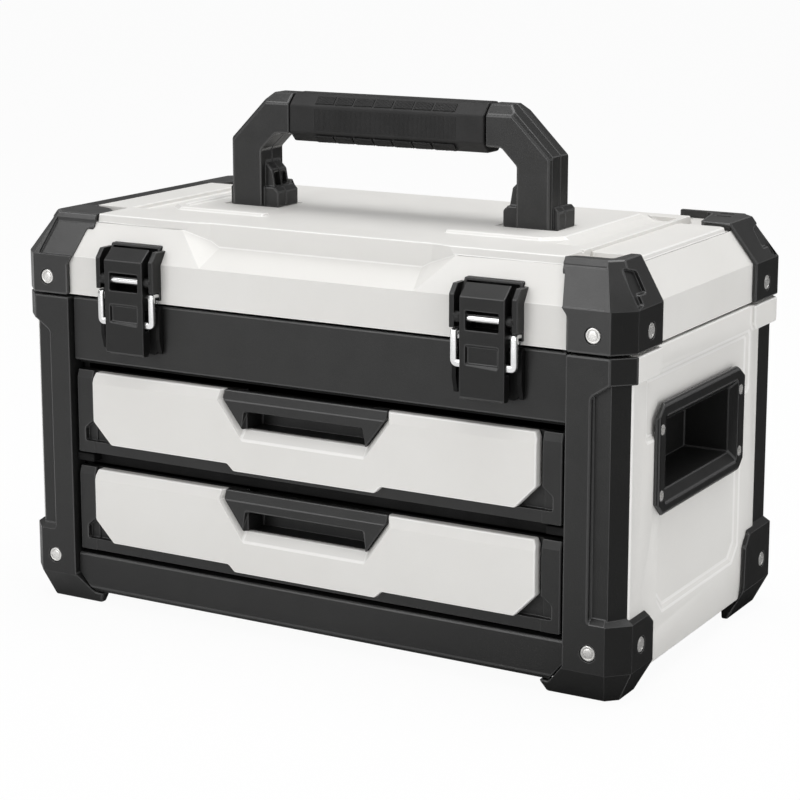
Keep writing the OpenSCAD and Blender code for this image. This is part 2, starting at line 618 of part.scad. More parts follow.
// flat plate on the lid, its pockets and the beads round the handle
module top_plate() {
    difference() {
        union() {
            cheek(-post_x + 12.4, post_x - 9, [[brow_y + 0.1, lid_z2 - 2], [brow_y + 1.7, lid_top], [plate_y1 - 4, lid_top], [plate_y1, lid_z2 - 2]]);
            box(-hw + border + 0.3, -post_x + 13, block_l + 2.5, body_d - guard_r_l - 1, lid_z2 - 2, lid_top);
        }
        both() face(field_y0 - 5, field_y1 - 8, [[field_hw + 7, lid_top - pocket_d], [post_x - 13, lid_top - pocket_d], [post_x - 12.2, lid_top + 9],
            [field_hw - 6, lid_top + 9], [field_hw - 6, lid_top + 2.4]]);
    }
    // border along the right side
    stack(post_x - 10, side_x - lid_run_x - 0.6, block_l + 1, body_d - guard_r_l - 1, 3, even([[lid_z2 - 2, 0], [lid_z2 + crown * 0.6, 1.2]]));
    difference() {
        stack(-field_hw, field_hw, field_y0, field_y1, 12, even([[lid_top - 1, -1], [lid_top + bead_h, 2.4]]));
        stack(-field_hw + 7, field_hw - 7, field_y0 + 6.5, field_y1 + 9, 9, even([[lid_top - 0.5, 1.5], [lid_top + bead_h + 1, -0.5]]));
        plan(lid_top - 0.5, lid_top + 9, [[-field_hw + 60, 0], [-field_hw + 76, field_y0 + 8], [field_hw - 76, field_y0 + 8], [field_hw - 60, 0]]);
    }
}
module lid() at(white) difference() {
    union() {
        difference() {
            union() {
                lid_form();
                top_plate();
            }
            lid_hollow();
            box(-post_x + 24, post_x - 24, shelf_y + 8, plate_y1 - 6, lid_z1, lid_top - pocket_d - lid_t + 0.5);
        }
        // wall behind the shelf
        intersection() {
            lid_form();
            cheek(-shelf_top - 5, shelf_top + 5, [[guard_t, lid_z1 - 6], [guard_t, lid_z1 + 0.1], [shelf_y, shelf_z + 1], [shelf_y, lid_z2],
                [shelf_y + 4, lid_z2], [shelf_y + 4, lid_z2 - 4], [shelf_y + 3.4, shelf_z - 1.2], [guard_t + lid_t, lid_z1 - 5]]);
        }
        // solid ends of the shelf
        both() intersection() {
            lid_form();
            cheek(shelf_hw - 12, shelf_top + 4.4, [[guard_t, lid_z1 - 7], [guard_t, lid_z2], [shelf_y + 5, lid_z2], [shelf_y + 5, shelf_z - 3], [guard_t + lid_t - 0.5, lid_z1 - 7]]);
        }
        // bosses for the handle's screws
        for (x = [-1, 1] * (grip_hw - leg_w / 2), y = [-1, 1] * grip_d / 4)
            translate([x, grip_y + y, lid_z1 + 12]) cylinder(r = 4.6, h = lid_top - lid_z1 - 13);
    }
    shelf_cut();
    // seats of the handle's feet
    both() box(grip_hw - leg_w - foot_in - 4, grip_hw + foot_out + 2, grip_y - grip_d / 2 - 1.5, grip_y + grip_d / 2 + 2.5, lid_top - seat, lid_top + 1);
    for (x = [-1, 1] * (grip_hw - leg_w / 2), y = [-1, 1] * grip_d / 4)
        translate([x, grip_y + y, lid_z1]) cylinder(r = 2.1, h = 40);
    // openings for the latch housings
    for (s = [-1, 1]) translate([s * latch_x, 0, 0])
        box(-housing_hw - 0.05, housing_hw + 0.05, -1, housing_d, housing_z0, housing_z1);
    // small marks left by the mould
    box(hw - 49, hw - 43, 38, 41, lid_top - 1.2, lid_top + 1);
    for (p = [[hw - 61, body_d - 18], [hw - 57, body_d - 22]]) box(p[0] - 3, p[0] + 3, p[1] - 1.5, p[1] + 1.5, lid_z2 - 1.2, lid_z2 + 1);
    both() lid_screw_holes();
    rear() both() lid_screw_holes();
}
lid_screw_z = seam_z + 11;
lid_screw_y = 30;
module lid_screw_holes() {
    rod_y(foot_screw_x, lid_screw_z, shank_r, -1, 8);
    rod_x(lid_screw_y, lid_screw_z, shank_r, hw - 8, hw + 1);
}

// pts: plan of a guard's inner outline from its side end round to its tab; d: depth of the sunk panel
// wall: its length on the upright wall
module guard(pts, wall, len, d) difference() {
    intersection() {
        guard_form();
        cheek(-big, big, [[-1, lid_bot], [wall, lid_bot], [wall, lid_z1], [len, lid_top], [-1, lid_top]]);
        union() {
            plan(lid_bot, lid_top, concat([[post_x, guard_run - 3], [post_x, -1], [hw + 1, -1], [hw + 1, len]], pts));
            face(-1, guard_run, [[post_x + 1, seam_z + 19.5], [post_x - 3, lid_z1], [post_x - 9, lid_top], [hw, lid_top], [hw, seam_z + 19.5]]);
        }
    }
    lid_form();
    // sunk panel on the slope
    intersection() {
        difference() {
            guard_form();
            translate([0, d, -d * 0.75]) guard_form();
        }
        face(-1, guard_run - 2, [[post_x - 12, lid_z1 + 0.4], [post_x - 12, lid_top - 3.4], [hw - corner_c - 9, lid_top - 3.4], [hw - corner_c - 4, lid_z1 + 0.4]]);
    }
    // notch beside the corner facet
    intersection() {
        difference() {
            guard_form();
            // moved along the corner facet, which keeps its place
            translate([-1.6, -1.6 - 0.9 * guard_run_c * rt2 / (lid_top - lid_z1), -0.9]) guard_form();
        }
        cheek(hw - 25, hw + 1, [[corner_c + 0.9, lid_z1 + 0.4], [corner_c + 8.2, lid_z1 + 1.6], [corner_c + 8.8, lid_z1 + 7],
            [corner_c + 17.6, lid_z1 + 7], [corner_c + 18.4, lid_z1 + 18.2], [corner_c + 7, lid_z1 + 21]]);
    }
    rod_y(foot_screw_x, lid_screw_z, screw_r + seat_gap, -1, 1.6);
    rod_x(lid_screw_y, lid_screw_z, screw_r + seat_gap, hw - 1.6, hw + 1);
    lid_screw_holes();
}
// rear guard with two slots in its leaf and a tab along the slope
module rear_guard() {
    difference() {
        guard([[hw - 33, guard_r_l], [hw - 40, guard_run + 9], [hw - 45, guard_run + 4], [hw - 45, guard_run - 3]], rear_l, guard_r_l, 0.6);
        for (p = [[hw - 31, guard_run + 6], [hw - 29, guard_run + 17]]) box(p[0] - 5, p[0] + 5, p[1] - 1.5, p[1] + 1.5, lid_top - 1.5, lid_top + 1);
    }
    difference() {
        intersection() {
            guard_form();
            face(-1, guard_run + 2, [[post_x - 32, lid_z1 + 7], [post_x - 43, lid_z2 - 2], [post_x - 43, lid_top], [post_x - 1, lid_top], [post_x - 1, lid_z1 + 7]]);
        }
        lid_form();
    }
}
module guard_front_right() at(black) guard([[hw - 20, block_l - 1], [hw - 21.5, guard_run + 8], [post_x - 5, guard_run + 7],
    [post_x - 8.5, guard_run + 4], [post_x - 9, guard_run - 3]], block_l, block_l, 0.6);
module guard_front_left() at(black) left_copy() guard([[hw - border, block_l], [hw - border - 3, block_l], [post_x - 4.5, guard_run + 25],
    [post_x - 12, guard_run + 17], [post_x - 12, guard_run - 3]], block_l, block_l, 1.3);
module guard_rear_right() at(black) rear() rear_guard();
module guard_rear_left() at(black) left_copy() rear() rear_guard();

module lid_edge_strip() at(black) difference() {
    intersection() {
        guard_form();
        box(-hw, -hw + border, block_l, body_d - guard_r_l, lid_z2 - 3, lid_top);
    }
    lid_form();
}

module lid_screws() at(steel) both() {
    screw_front(foot_screw_x, lid_screw_z);
    screw_side(lid_screw_y, lid_screw_z);
    rear() screw_front(foot_screw_x, lid_screw_z);
    rear() screw_side(lid_screw_y, lid_screw_z);
}

// ---------- hinges ----------
seg = hinge_l / 5;
leaf_t = 2;
module knuckles(list, r, up) for (i = list) translate([hinge_x - hinge_l / 2 + i * seg + 0.15, 0, 0]) difference() {
    union() {
        rod_x(axis_y, seam_z, knuckle_r, 0, seg - 0.3);
        box(0, seg - 0.3, body_d - guard_t, axis_y, up ? seam_z : seam_z - knuckle_r, up ? seam_z + knuckle_r : seam_z);
        box(0, seg - 0.3, body_d - guard_t, body_d - guard_t + leaf_t, up ? seam_z + 1 : seam_z - 6, up ? seam_z + 6 : seam_z - 1);
    }
    rod_x(axis_y, seam_z, r, -1, seg + 1);
}
module hinge_case_leaves() at(steel) both() {
    knuckles([0, 2, 4], hinge_pin_r, false);
    box(hinge_x - hinge_l / 2, hinge_x + hinge_l / 2, body_d - guard_t, body_d - guard_t + leaf_t, seam_z - 18, seam_z - 4.4);
}
module hinge_lid_leaves() at(steel) both() {
    knuckles([1, 3], hinge_pin_r + fit, true);
    box(hinge_x - hinge_l / 2, hinge_x + hinge_l / 2, body_d - guard_t, body_d - guard_t + leaf_t, seam_z + 4.4, seam_z + 18);
}
module hinge_pins() at(steel) both() rod_x(axis_y, seam_z, hinge_pin_r, hinge_x - hinge_l / 2 - 0.8, hinge_x + hinge_l / 2 + 0.8);

// ---------- carrying handle ----------
seat = 1;
foot_in = 10.5;
foot_out = 3.4;
base_z = lid_top - seat;
top_z = lid_top + grip_h;
gy0 = grip_y - grip_d / 2;
gy1 = grip_y + grip_d / 2;
knee = 29.5;               // size of the slanted shoulder
shoulder = (grip_hw + top_z - knee) / rt2;
// prism bevelled at both y faces, limited at distance d in direction a of the front view
module limit(a, d, b) rotate([0, -a, 0]) linear_extrude(4 * big, center = true)
    polygon([[-big, gy0], [d - b, gy0], [d, gy0 + b], [d, gy1 - b], [d - b, gy1], [-big, gy1]]);
module arch() difference() {
    intersection() {
        box(-grip_hw, grip_hw, gy0, gy1, base_z, top_z);
        limit(0, grip_hw, leg_bevel);
        limit(180, grip_hw, leg_bevel);
        limit(90, top_z, grip_bevel);
        limit(45, shoulder, leg_bevel + 0.7);
        limit(135, shoulder, leg_bevel + 0.7);
    }
    // groove along the seam of the half shells
    for (p = [[0, grip_hw], [180, grip_hw], [90, top_z], [45, shoulder], [135, shoulder]]) rotate([0, -p[0], 0])
        linear_extrude(4 * big, center = true) polygon([[p[1] - 0.8, grip_y], [p[1] + 0.2, grip_y - 0.9], [p[1] + 0.2, grip_y + 0.9]]);
    face(gy0 - 1, gy1 + 1, [[-grip_hw + leg_w, base_z - 1], [-grip_hw + leg_w, top_z - bridge_t - 11],
        [-grip_hw + leg_w + 11, top_z - bridge_t], [grip_hw - leg_w - 11, top_z - bridge_t],
        [grip_hw - leg_w, top_z - bridge_t - 11], [grip_hw - leg_w, base_z - 1]]);
}
core_in = 3;
module sleeve_ring(e) cheek(-sleeve_hl, sleeve_hl, [[gy0 - e, top_z - 7 + e * 0.4], [gy0 + 7 - e * 0.6, top_z + e], [gy1 - 7 + e * 0.6, top_z + e],
    [gy1 + e, top_z - 7 + e * 0.4], [gy1 + e, top_z - bridge_t + 2 - e * 0.4], [gy1 - 6 + e * 0.6, top_z - bridge_t - 4 - e],
    [gy0 + 6 - e * 0.6, top_z - bridge_t - 4 - e], [gy0 - e, top_z - bridge_t + 2 - e * 0.4]]);
// bar inside the sleeve
module grip_core() cheek(-sleeve_hl - 1, sleeve_hl + 1, [[gy0 + core_in, top_z - 9], [gy0 + 9, top_z - core_in], [gy1 - 9, top_z - core_in],
    [gy1 - core_in, top_z - 9], [gy1 - core_in, top_z - bridge_t + 4], [gy1 - 7, top_z - bridge_t], [gy0 + 7, top_z - bridge_t],
    [gy0 + core_in, top_z - bridge_t + 4]]);
module handle_body() {
    difference() {
        arch();
        difference() {
            box(-sleeve_hl, sleeve_hl, gy0 - 1, gy1 + 1, top_z - bridge_t - 1, top_z + 1);
            grip_core();
        }
    }
    both() {
        // outer toe
        difference() {
            box(grip_hw - 1, grip_hw + foot_out, gy0 + 4, gy1 + 2, base_z, base_z + 13.5);
            translate([grip_hw + foot_out, 0, base_z + 13.5]) rotate([0, 45, 0]) box(-1.6, 1.6, 0, body_d, -1.6, 1.6);
        }
        // inner toe with its pocketed gusset
        difference() {
            box(grip_hw - leg_w - foot_in, grip_hw - leg_w + 1, gy0 + 3, gy1 + 2, base_z, base_z + 13);
            translate([grip_hw - leg_w - foot_in, 0, base_z + 13]) rotate([0, 45, 0]) box(-2, 2, 0, body_d, -2, 2);
        }
        difference() {
            face(gy0 + 5, gy1 - 3, [[grip_hw - leg_w + 1, base_z + 12], [grip_hw - leg_w - 7, base_z + 12], [grip_hw - leg_w - 5, base_z + 24], [grip_hw - leg_w + 1, base_z + 30]]);
            for (y = [gy0 + 6.6, gy0 + 14.4]) box(grip_hw - leg_w - 9, grip_hw - leg_w - 2.4, y, y + 6, base_z + 13.6, base_z + 22);
        }
    }
}
module half(front) intersection() {
    difference() {
        handle_body();
        // seam groove and screw bores
        for (x = [-1, 1] * (grip_hw - leg_w / 2), y = [-1, 1] * grip_d / 4) translate([x, grip_y + y, base_z - 1]) cylinder(r = 2, h = 16);
    }
    if (front) box(-big, big, 0, grip_y, 0, big); else box(-big, big, grip_y, body_d, 0, big);
}
module handle_front_shell() at(black) half(true);
module handle_rear_shell() at(black) half(false);
module handle_sleeve() at([0.14, 0.14, 0.14]) difference() {
    sleeve_ring(0.5);
    grip_core();
    // fields for the ribbed inlays
    translate([0, gy0 + 3, top_z - 3]) rotate([45, 0, 0]) box(-sleeve_hl + 19, sleeve_hl - 20, -3.6, 3.6, -0.7 + 0.75, 4);
}
module handle_screws() at(steel) for (x = [-1, 1] * (grip_hw - leg_w / 2), y = [-1, 1] * grip_d / 4) translate([x, grip_y + y, 0]) {
    translate([0, 0, lid_z1 + 9.4]) cylinder(r = 3.8, h = 2.6);
    translate([0, 0, lid_z1 + 11]) cylinder(r = 2, h = base_z + 14 - lid_z1 - 11);
}

// ---------- latches ----------
pin_z = seam_z + pin_up;
pin_y = -3.2;
lever_hw = lever_w / 2;
lever_y = -lever_out;
plate_t = 2.2;
lever_z0 = seam_z - lever_down;
lever_z1 = seam_z + lever_up;
lever_back = 1.5;                      // reach of the lever's head to the rear
lever_z2 = lever_z1 + 7;
housing_hw = lever_hw + 4.2;
housing_z0 = seam_z + 3;
housing_z1 = lid_z1 + 10.4;
housing_d = pin_y + norm([lever_back - pin_y, lever_z2 - pin_z]) + 3;
bail_z = seam_z + 5.6;
bail_y = -1.2;
leg_x = lever_hw + 4.8;
leg_y = -3.2;
bail_r = 1.9;                          // radius of the bail's upright legs
bar_z = seam_z - 12;
ear_z = lever_z1 + 0.6;                // where the ears begin to slope back
boss_r = 3.2;                          // radius of the bosses between lever and ears
pin_hl = ear_x - 1.2;                  // half length of the pins, which end inside the ears
// line of the housing's face: a little ahead of the lid's wall and slope
face_y = guard_t - 2;
slope_k = lid_run / lid_rise;
module latch_housing() {
    difference() {
        union() {
            difference() {
                cheek(-housing_hw, housing_hw, [[face_y, housing_z0], [face_y, lid_z1], [face_y + (housing_z1 - lid_z1) * slope_k, housing_z1],
                    [housing_d, housing_z1], [housing_d, housing_z0]]);
                // well that takes the head of the lever when it swings
                box(-housing_hw + 1.6, housing_hw - 1.6, -20, housing_d - 1.6, housing_z0 + 1.6, housing_z1 - 1.6);
            }
            // flange on the lid's wall
            intersection() {
                both() cheek(housing_hw - 1.2, ear_x, [[face_y, housing_z0], [face_y, lid_z1], [guard_t + 3, lid_z1 + 3 / slope_k], [guard_t + 3, housing_z0]]);
                difference() {
                    box(-ear_x, ear_x, face_y, guard_t + 3, housing_z0, lid_z1 + 6);
                    cheek(-big, big, [[guard_t, housing_z0 - 1], [guard_t, lid_z1], [guard_t + 6, lid_z1 + 6 / slope_k], [guard_t + 9, housing_z0 - 1]]);
                }
            }
            // ears that hold the pin
            both() {
                cheek(housing_hw - 0.15, ear_x, [[guard_t - 0.5, seam_z + 8.4], [pin_y - 2.6, seam_z + 8.4], [pin_y - 2.6, ear_z], [pin_y + 2, ear_z + 5.6],
                    [guard_t + (ear_z + 5.6 - lid_z1) * slope_k - 0.02, ear_z + 5.6], [guard_t - 0.02, lid_z1]]);
                rod_x(pin_y, pin_z, boss_r, lever_hw + 0.3, housing_hw + 0.4);
            }
        }
        rod_x(pin_y, pin_z, pin_r, -pin_hl, pin_hl);
    }
}
module scale_x(s) if (s > 0) children(); else mirror([1, 0, 0]) children();
module at_latch(s) translate([s * latch_x, 0, 0]) children();
module latch_housing_right() at(black) at_latch(1) latch_housing();
module latch_housing_left() at(black) at_latch(-1) latch_housing();
module latch_pins() at(steel) for (s = [-1, 1]) at_latch(s) rod_x(pin_y, pin_z, pin_r, -pin_hl, pin_hl);

module lever() difference() {
    union() {
        // face plate with its slanted head
        cheek(-lever_hw, lever_hw, [[lever_y, lever_z0 + 1.2], [lever_y, lever_z1], [lever_back, lever_z2], [lever_back, lever_z2 - 2.2],
            [lever_y + plate_t, lever_z1 - 1.4], [lever_y + plate_t, lever_z0 + 0.4], [lever_y + 1.2, lever_z0]]);
        // side walls round the pin and the bail's eyes
        both() cheek(lever_hw - 3, lever_hw, [[lever_y + 1, seam_z - 3], [lever_y + 1, lever_z1 - 0.5], [lever_back - 0.3, lever_z2 - 0.6], [lever_back, lever_z2 - 2],
            [0.6, pin_z - 2], [0.6, seam_z + 1], [-1.5, seam_z - 3]]);
        // side walls of the grip, and shallow returns between them and the head
        both() cheek(lever_hw - 2, lever_hw, [[lever_y + 1, lever_z0 + 0.6], [lever_y + 1, bar_z - 4], [0, bar_z - 4], [0.4, bar_z - 6], [0.4, lever_z0 + 3], [-1.6, lever_z0]]);
        both() cheek(lever_hw - 1.8, lever_hw, [[lever_y + 1, lever_z0 + 1], [lever_y + 1, seam_z], [lever_y + plate_t + 0.4, seam_z], [lever_y + plate_t + 0.4, bar_z + 3],
            [lever_y + plate_t - 0.3, bar_z + 2], [lever_y + plate_t - 0.3, bar_z - 2], [lever_y + plate_t + 0.4, bar_z - 3], [lever_y + plate_t + 0.4, lever_z0 + 1]]);
    }
    // window over the pin
    box(-10.5, 10.5, lever_y - 1, lever_y + plate_t + 0.2, seam_z + 8.2, seam_z + 19.2);
    // shallow sunk field
    hull() {
        face(lever_y - 0.1, lever_y, [[-10.4, seam_z - 11.6], [10.4, seam_z - 11.6], [10.4, seam_z - 0.2], [-10.4, seam_z - 0.2]]);
        face(lever_y + 1.3, lever_y + 1.4, [[-9.6, seam_z - 10.8], [9.6, seam_z - 10.8], [9.6, seam_z - 1.4], [-9.6, seam_z - 1.4]]);
    }
    rod_x(pin_y, pin_z, pin_r + fit, -lever_hw - 1, lever_hw + 1);
    rod_x(bail_y, bail_z, wire_r + fit, -lever_hw - 1, lever_hw + 1);
}
module latch_lever_right() at(black) at_latch(1) lever();
module latch_lever_left() at(black) at_latch(-1) lever();

module bail() union() {
    both() {
        rod_x(bail_y, bail_z, wire_r, lever_hw - 2.9, leg_x);
        translate([leg_x, bail_y, bail_z]) sphere(r = wire_r);
        rod_y(leg_x, bail_z, wire_r, leg_y, bail_y);
        translate([leg_x, leg_y, bail_z]) sphere(r = bail_r);
        translate([leg_x, leg_y, bar_z]) cylinder(r = bail_r, h = bail_z - bar_z);
        translate([leg_x, leg_y, bar_z]) sphere(r = bail_r);
    }
    rod_x(leg_y, bar_z, wire_r, -leg_x, leg_x);
}
module latch_bail_right() at(steel) at_latch(1) bail();
module latch_bail_left() at(steel) at_latch(-1) bail();

module catch_() {
    union() {
        // base plate on the band
        face(setback - 2.5, setback, [[-ear_x, seam_z - 26], [-ear_x + 5, seam_z - 31], [ear_x - 5, seam_z - 31], [ear_x, seam_z - 26], [ear_x, case_top - 0.2], [-ear_x, case_top - 0.2]]);
        // ears beside the lever
        both() cheek(leg_x + 0.4, ear_x + 0.7, [[setback - 1, seam_z - 30], [setback - 2.5, seam_z - 30], [-0.9, seam_z - 21], [-0.9, case_top - 3], [0.5, case_top - 0.4], [setback - 1, case_top - 0.4]]);
        // nose under which the bail draws up
        cheek(-9, 9, [[setback - 2, seam_z - 5], [0.2, seam_z - 6.5], [-1.1, seam_z - 9], [-1.1, seam_z - 14], [0.2, seam_z - 14.6], [setback - 2, seam_z - 12]]);
    }
}
module latch_catch_right() at(black) at_latch(1) catch_();
module latch_catch_left() at(black) at_latch(-1) catch_();

side_panel_right();
side_panel_left();
back_panel();
base_plate();
well_tray();
front_band();
bottom_rail();
divider_strip();
runner_cheeks();
post_front_right();
post_front_left();
post_rear_right();
post_rear_left();
side_handle_right();
side_handle_left();
side_handle_screws();
case_screws();
hinge_case_leaves();
hinge_pins();
latch_catch_right();
latch_catch_left();
lid();
guard_front_right();
guard_front_left();
guard_rear_right();
guard_rear_left();
lid_edge_strip();
lid_screws();
hinge_lid_leaves();
handle_front_shell();
handle_rear_shell();
handle_sleeve();
handle_screws();
latch_housing_right();
latch_housing_left();
latch_pins();
latch_lever_right();
latch_lever_left();
latch_bail_right();
latch_bail_left();
upper_tray();
upper_frame();
upper_fascia();
upper_pull();
lower_tray();
lower_frame();
lower_fascia();
lower_pull();
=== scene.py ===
# %% [markdown]
# # A portable tool box with two drawers
# The solids of the box come ready made as a frame of named nodes, each on the body it moves with.
# This lesson dresses them: first the camera and the light, then the finishes, then the soft edges
# of every moulding, and last the small repeated things such as screws and grip ribs.

# %% Load the frame
import json
import math

import bmesh
import bpy
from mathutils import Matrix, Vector


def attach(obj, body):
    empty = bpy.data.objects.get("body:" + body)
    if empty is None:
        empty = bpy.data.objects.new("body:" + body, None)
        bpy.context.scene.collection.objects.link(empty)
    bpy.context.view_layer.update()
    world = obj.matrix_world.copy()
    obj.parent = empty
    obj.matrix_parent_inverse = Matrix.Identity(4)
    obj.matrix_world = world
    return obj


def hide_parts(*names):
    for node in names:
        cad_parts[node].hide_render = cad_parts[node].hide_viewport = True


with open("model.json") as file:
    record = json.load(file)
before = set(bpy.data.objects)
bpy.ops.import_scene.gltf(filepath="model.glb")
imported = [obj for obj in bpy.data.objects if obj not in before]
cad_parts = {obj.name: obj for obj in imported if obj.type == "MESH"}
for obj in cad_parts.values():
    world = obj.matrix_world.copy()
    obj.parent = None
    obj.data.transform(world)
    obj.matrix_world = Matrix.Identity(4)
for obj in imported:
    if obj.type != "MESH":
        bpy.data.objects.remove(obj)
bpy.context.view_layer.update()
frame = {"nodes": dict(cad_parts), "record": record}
nodes = frame["nodes"]
owner = {node: body for body, held in frame["record"]["behaviour"]["bodies"].items() for node in held}

# %% [markdown]
# ## Camera
# A product picture is taken with a long lens from a little above, so that the box keeps its square
# look.  The lens is also shifted down a little, as on a view camera, so that upright edges stay
# nearly parallel.

# %% Set the camera
camera_data = bpy.data.cameras.new("studio_camera")
camera_data.sensor_width = 36.0
camera_data.lens = 99.585
camera_data.shift_y = -0.1
camera = bpy.data.objects.new("studio_camera", camera_data)
bpy.context.collection.objects.link(camera)
camera.location = (0.68615, -1.18796, 0.44952)
camera.rotation_euler = (math.radians(78.958), 0, math.radians(30.021))
bpy.context.scene.camera = camera
bpy.context.scene.view_settings.view_transform = "Standard"
print("camera at", [round(v, 2) for v in camera.location])

# %% [markdown]
# ## Light and floor
# Three soft boxes stand round the object: a broad one overhead, a key at the left of the camera and
# a weaker one at the right, so that the side panel falls a little darker than the front.  A small
# card high on the left is there for the gloss only: the sloping blacks mirror it.  The floor
# is white: most of what the lens sees of it is plain white, and the rest takes light and shadow.  To
# glossy rays the room is dimmer, and the floor at the box's right and behind it is painted dark, a
# painted dark reflection that gives black plastic its depth.


# %% Soft boxes
def soft_box(name, place, aim, size, watts):
    """A flat lamp at a place, turned to a point; size is (width, height) in metres."""
    data = bpy.data.lights.new(name, "AREA")
    data.shape = "RECTANGLE"
    data.size, data.size_y = size
    data.energy = watts
    lamp = bpy.data.objects.new(name, data)
    bpy.context.collection.objects.link(lamp)
    lamp.location = place
    lamp.rotation_euler = (Vector(aim) - Vector(place)).to_track_quat("-Z", "Y").to_euler()
    return lamp


middle = (0, 0, 0.15)
soft_box("overhead_box", (0.25, 0.2, 1.9), middle, (1.5, 1.5), 24)
soft_box("key_box", (-0.8, -2.0, 0.6), middle, (1.2, 1.1), 11.9)
side_box = soft_box("side_box", (2.0, -0.5, 0.5), middle, (1.2, 0.8), 7.8)
side_box.visible_glossy = False
gloss_card = soft_box("gloss_card", (-0.72, -0.75, 1.6), middle, (1.1, 1.2), 14)
gloss_card.visible_diffuse = False


# %% World and floor
COLOUR_A, COLOUR_B, COLOUR_OUT = 6, 7, 2    # sockets of a Mix node that mixes colours
VALUE_A, VALUE_B, VALUE_OUT = 2, 3, 0       # and of one that mixes plain values
ROOM_STRENGTH = 0.43
ROOM_LOSS_FOR_GLOSS = -0.18
PAPER_COLOUR = (0.9, 0.9, 0.9, 1)
# painted dark reflection: the floor's colour for glossy rays at the box's right and behind it
DARK_REFLECTION_COLOUR = (0.06, 0.06, 0.06, 1)
DARK_REFLECTION_WAY = (0.9, 0.45, 0)                   # the way in which the paper turns into painted dark reflection
DARK_REFLECTION_START, DARK_REFLECTION_FULL = -0.1, 0.15          # measured along that way, from the box's middle
PAPER_PLAIN_SHARE = 0.95
FLOOR_REACH = 9


def white_for_lens(tree, lit, white, share):
    """Shows the white shader to the lens by a share, and the lit one to everything else."""
    path = tree.nodes.new("ShaderNodeLightPath")
    part = tree.nodes.new("ShaderNodeMath")
    part.operation = "MULTIPLY"
    part.inputs[1].default_value = share
    tree.links.new(path.outputs["Is Camera Ray"], part.inputs[0])
    mix = tree.nodes.new("ShaderNodeMixShader")
    tree.links.new(part.outputs[0], mix.inputs["Fac"])
    tree.links.new(lit, mix.inputs[1])
    tree.links.new(white, mix.inputs[2])
    return mix.outputs[0]


def studio_world():
    """A white room, weaker for glossy rays, that the lens sees as plain white."""
    made = bpy.data.worlds.new("studio_world")
    made.use_nodes = True
    sky = made.node_tree
    room = sky.nodes["Background"]
    room.inputs["Color"].default_value = (1, 1, 1, 1)
    dim = sky.nodes.new("ShaderNodeMath")
    dim.operation = "MULTIPLY_ADD"
    dim.inputs[1].default_value = ROOM_LOSS_FOR_GLOSS
    dim.inputs[2].default_value = ROOM_STRENGTH
    path = sky.nodes.new("ShaderNodeLightPath")
    sky.links.new(path.outputs["Is Glossy Ray"], dim.inputs[0])
    sky.links.new(dim.outputs[0], room.inputs["Strength"])
    plain = sky.nodes.new("ShaderNodeBackground")
    plain.inputs["Color"].default_value = (1, 1, 1, 1)
    seen = white_for_lens(sky, room.outputs[0], plain.outputs[0], 1.0)
    sky.links.new(seen, sky.nodes["World Output"].inputs["Surface"])
    return made


def painted_dark_reflection_share(tree):
    """How much of the floor's painted dark reflection a ray meets: none unless it is glossy, and more
    towards the box's right and behind it.
    """
    along = tree.nodes.new("ShaderNodeVectorMath")
    along.operation = "DOT_PRODUCT"
    along.inputs[1].default_value = DARK_REFLECTION_WAY
    place = tree.nodes.new("ShaderNodeTexCoord")
    tree.links.new(place.outputs["Object"], along.inputs[0])
    behind = tree.nodes.new("ShaderNodeMapRange")
    behind.inputs["From Min"].default_value = DARK_REFLECTION_START
    behind.inputs["From Max"].default_value = DARK_REFLECTION_FULL
    tree.links.new(along.outputs["Value"], behind.inputs["Value"])
    path = tree.nodes.new("ShaderNodeLightPath")
    both = tree.nodes.new("ShaderNodeMath")
    both.operation = "MULTIPLY"
    tree.links.new(path.outputs["Is Glossy Ray"], both.inputs[0])
    tree.links.new(behind.outputs[0], both.inputs[1])
    return both.outputs[0]


def studio_paper():
    finish = bpy.data.materials.new("studio_paper")
    finish.use_nodes = True
    tree = finish.node_tree
    sheet = tree.nodes["Principled BSDF"]
    sheet.inputs["Roughness"].default_value = 0.9
    mix = tree.nodes.new("ShaderNodeMix")
    mix.data_type = "RGBA"
    mix.inputs[COLOUR_A].default_value = PAPER_COLOUR
    mix.inputs[COLOUR_B].default_value = DARK_REFLECTION_COLOUR
    # painted dark reflection: glossy rays see this part of the floor dark
    tree.links.new(painted_dark_reflection_share(tree), mix.inputs[0])
    tree.links.new(mix.outputs[COLOUR_OUT], sheet.inputs["Base Color"])
    plain = tree.nodes.new("ShaderNodeEmission")
    seen = white_for_lens(tree, sheet.outputs[0], plain.outputs[0], PAPER_PLAIN_SHARE)
    tree.links.new(seen, tree.nodes["Material Output"].inputs["Surface"])
    return finish


bpy.context.scene.world = studio_world()
floor_corners = [(x * FLOOR_REACH, y * FLOOR_REACH, 0) for x, y in ((-1, -1), (1, -1), (1, 1), (-1, 1))]
floor_mesh = bpy.data.meshes.new("studio_floor")
floor_mesh.from_pydata(floor_corners, [], [(0, 1, 2, 3)])
floor_mesh.materials.append(studio_paper())
floor = bpy.data.objects.new("studio_floor", floor_mesh)
bpy.context.collection.objects.link(floor)
print("floor and backdrop ready")

# %% [markdown]
# ## Finishes
# Nearly everything here is moulded plastic.  A steel mould is etched before use, so that the part
# leaves it with a fine grain: two noises of different size in the bump do that.  A slow third noise
# moves colour and gloss a little, as on a real surface that hands have touched.


# %% Moulded plastic
def noise(tree, scale, detail=3.0, rough=0.55):
    """A noise laid on the piece itself, so that it moves with the piece."""
    place = tree.nodes.get("place") or tree.nodes.new("ShaderNodeTexCoord")
    place.name = "place"
    cloud = tree.nodes.new("ShaderNodeTexNoise")
    cloud.inputs["Scale"].default_value = scale
    cloud.inputs["Detail"].default_value = detail
    cloud.inputs["Roughness"].default_value = rough
    tree.links.new(place.outputs["Object"], cloud.inputs["Vector"])
    return cloud.outputs["Fac"]


